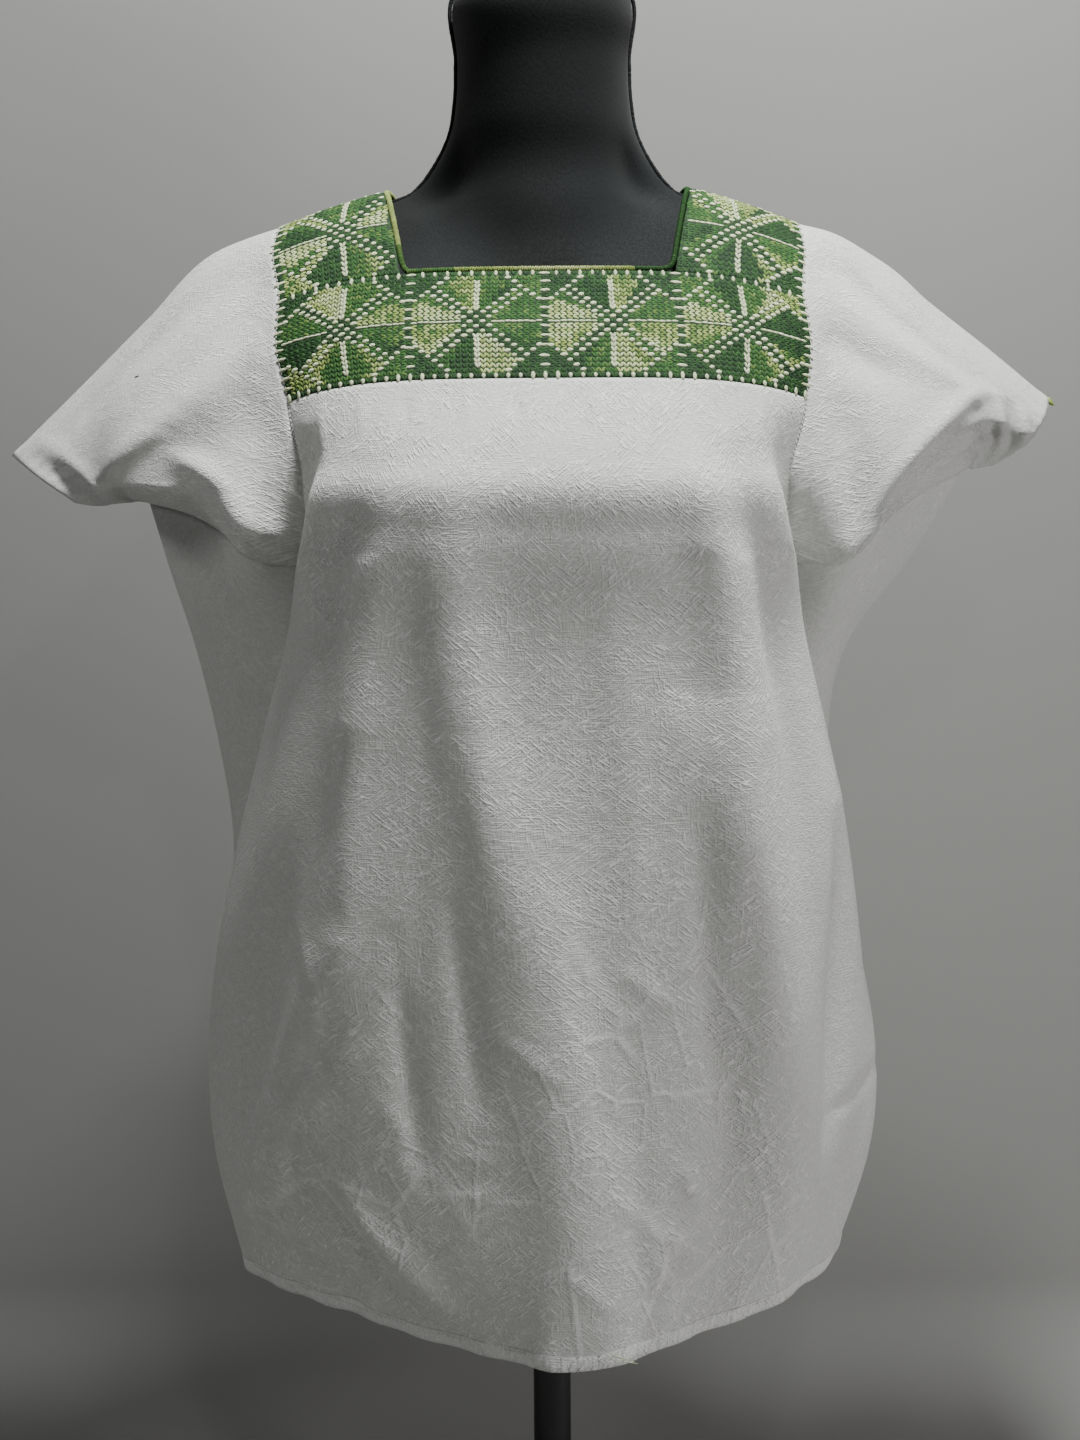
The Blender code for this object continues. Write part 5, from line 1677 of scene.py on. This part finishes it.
class HUIPIL_OT_gores(bpy.types.Operator):
    """Build the side gores under the sleeves"""
    bl_idname = "huipil.gores"
    bl_label = "Side gores"

    def execute(self, context):
        settings = context.scene.huipil_blouse
        cell = settings.cloth_cell * 1.2
        look = cotton_look("gore_cotton", 0.25, 1.0, 0.0, 0.0, settings)
        gs = spaced([0.0, 0.5, 1.0], cell / GORE_WIDTH)
        shares = spaced([0.0, 1 - settings.hem_width / GORE_LENGTH, 1.0], cell / GORE_LENGTH)
        flat = np.array([[((g - 0.5) * GORE_WIDTH, -share * GORE_LENGTH) for g in gs] for share in shares])
        for word, stations, ridges, side in SIDES:
            grid = gore(stations, ridges, side, shares, gs)
            grid = turned_hem(grid, grid_normals(grid) * -side, (1 - shares) * GORE_LENGTH, settings,
                              30 + side)
            piece = cloth_piece(f"{word}_gore_cloth", grid, flat, look, settings.cloth_thickness,
                                flip=side > 0)
            belongs(piece, "cotton", f"side_gore_{word}")
        return {"FINISHED"}


# ---- seams, hems and loose threads -----------------------------------------------------------------------

ARMHOLE_PITCH, ARMHOLE_STITCH = 0.0031, (0.0010, 0.0026, 0.0008)
HEM_PITCH, HEM_STITCH = 0.0032, (0.0006, 0.0021, 0.0005)
CUFF_RUNS = (-0.020, 0.016)      # where the green overcasting lies round the left cuff
CUFF_STITCHES = 14
CUFF_STITCH = (0.0021, 0.0062, 0.0022)
CUFF_STITCH_OUT = (0.0008, 0.0018)    # how far past the rim their middles lie
CLOTH_GAP = 0.0005               # how far a coloured stitch stands off the cloth
DARK_END_RUNS, DARK_END_SHARES = (-0.104, -0.101), (0.445, 0.465)    # its two ends on the right sleeve
DARK_END = (0.0008, 0.0036, 0.0007)
LOOSE_THREAD = 0.0006            # thickness of the loose thread
LOOSE_THREAD_OUT = 0.0022        # how far it hangs in front of the cloth
# The bends of the loose thread under the front hem: distance along the cloth, place across it.
LOOSE_THREAD_BENDS = (
    (-0.7525, 0.130),
    (-0.7555, 0.165),
    (-0.7575, 0.150),
    (-0.7600, 0.185),
    (-0.7640, 0.175),
)


def run_stitches(placed, draw, line, normals, pitch, size, gap):
    """A row of stitches along a line, a little above the cloth."""
    along = distances(line)
    for s in np.arange(pitch / 2, along[-1], pitch):
        here, ahead, outward = (point_at(at, along, source)
                                for at, source in ((s, line), (s + AHEAD, line), (s, normals)))
        outward = unit(outward)
        placed.stitch(here + outward * gap, ahead - here + draw.normal(0, 0.00006, 3), outward, size, 1.0)


def armhole_stitches(placed, draw):
    """Both armhole seams, from the front underarm over the shoulder to the back."""
    runs = spaced([FRONT_UNDERARM, 0.0, BACK_UNDERARM], 0.004)
    for side in (-1, 1):
        line = trunk(runs, [side * 0.998])[:, 0]
        out = trunk(runs, [side])[:, 0] - trunk(runs, [side * 0.96])[:, 0]
        normals = unit(np.cross(np.gradient(line, axis=0), out) * -side)
        run_stitches(placed, draw, line, normals, ARMHOLE_PITCH, ARMHOLE_STITCH, 0.0004)


def hem_stitches(placed, draw, hem_width):
    """The stitch lines of the front and back hems."""
    us = spaced([-1.0, 1.0], 0.01)
    for hem, sign in ((FRONT_HEM, 1), (BACK_HEM, -1)):
        inner = trunk([hem + sign * hem_width * HEM_STITCH_LINE, hem + sign * hem_width], us)
        run_stitches(placed, draw, inner[0], grid_normals(inner)[0] * sign, HEM_PITCH, HEM_STITCH, 0.0003)


def cuff_overcasting(placed, draw):
    """A short length of green overcasting on the left cuff's tip."""
    runs = np.linspace(*CUFF_RUNS, CUFF_STITCHES)
    rim = sleeve(LEFT_SLEEVE, LEFT_RIDGES, 1, runs, [0.975, 1.0])
    over = grid_normals(rim)[1] * -1
    for i in range(CUFF_STITCHES):
        out = unit(rim[1, i] - rim[0, i])
        place = rim[1, i] + out * draw.uniform(*CUFF_STITCH_OUT) + over[i] * CLOTH_GAP
        placed.stitch(place, out + draw.normal(0, 0.12, 3), over[i], CUFF_STITCH,
                      0.10 if i >= CUFF_STITCHES // 2 else draw.choice([0.10, 0.50, 0.70]))


def dark_thread_end(placed):
    """The end of a dark thread that shows on the right sleeve."""
    patch = sleeve(RIGHT_SLEEVE, RIGHT_RIDGES, -1, DARK_END_RUNS, DARK_END_SHARES)
    normal = grid_normals(patch)[0, 0]
    placed.stitch(patch[0, 0] + normal * CLOTH_GAP, patch[1, 1] - patch[0, 0], normal, DARK_END, 0.0)


def loose_thread(placed):
    """A loose white thread that hangs in bends from the front hem."""
    bends = [trunk([run], [u])[0, 0] for run, u in LOOSE_THREAD_BENDS]
    for low, high in zip(bends, bends[1:]):
        size = (LOOSE_THREAD, 1.5 * float(np.linalg.norm(high - low)), LOOSE_THREAD)
        middle = (low + high) / 2 + np.array([0.0, -LOOSE_THREAD_OUT, 0.0])
        placed.stitch(middle, high - low, (0.0, -1.0, 0.1), size, 1.0)


class HUIPIL_OT_seams(bpy.types.Operator):
    """Sew the seams and the hems with small stitches"""
    bl_idname = "huipil.seams"
    bl_label = "Seams and hems"

    def execute(self, context):
        settings = context.scene.huipil_blouse
        draw = np.random.default_rng(9)
        white, coloured = Placed(), Placed()
        armhole_stitches(white, draw)
        hem_stitches(white, draw, settings.hem_width)
        look = cotton_look("seam_cotton", 0.2, 0.6, 0.0, 0.0, settings)
        belongs(white.scatter("seam_stitches", "grain", look), "cotton")
        cuff_overcasting(coloured, draw)
        dark_thread_end(coloured)
        loose_thread(coloured)
        look = thread_look("yoke_thread", context.scene.huipil_thread)
        belongs(coloured.scatter("cuff_stitches", "grain", look), "embroidery")
        return {"FINISHED"}


# ---- the add-on ------------------------------------------------------------------------------------------

class HUIPIL_PT_sidebar(bpy.types.Panel):
    """Shows the settings of the blouse and its form, and a button for each building step"""
    bl_label = "Huipil"
    bl_idname = "HUIPIL_PT_sidebar"
    bl_space_type = "VIEW_3D"
    bl_region_type = "UI"
    bl_category = "Huipil"

    def draw(self, context):
        for group in SETTINGS:
            settings = getattr(context.scene, group)
            for key in settings.bl_rna.properties.keys():
                if key not in ("rna_type", "name"):
                    self.layout.prop(settings, key)
        for operator in OPERATORS:
            self.layout.operator(operator.bl_idname)


SETTINGS = {"huipil_blouse": BlouseSettings, "huipil_thread": ThreadSettings, "huipil_form": FormSettings}
OPERATORS = [
    HUIPIL_OT_stage, HUIPIL_OT_form, HUIPIL_OT_stand, HUIPIL_OT_panels, HUIPIL_OT_sleeves, HUIPIL_OT_gores,
    HUIPIL_OT_yoke, HUIPIL_OT_stars, HUIPIL_OT_edging, HUIPIL_OT_seams,
]
CLASSES = [*SETTINGS.values(), *OPERATORS, HUIPIL_PT_sidebar]


def register():
    for item in CLASSES:
        bpy.utils.register_class(item)
    for name, kind in SETTINGS.items():
        setattr(bpy.types.Scene, name, bpy.props.PointerProperty(type=kind))


def unregister():
    for name in SETTINGS:
        delattr(bpy.types.Scene, name)
    for item in reversed(CLASSES):
        bpy.utils.unregister_class(item)


def main():
    register()
    for operator in OPERATORS:
        group, action = operator.bl_idname.split(".")
        getattr(getattr(bpy.ops, group), action)()


if __name__ == "__main__":
    main()
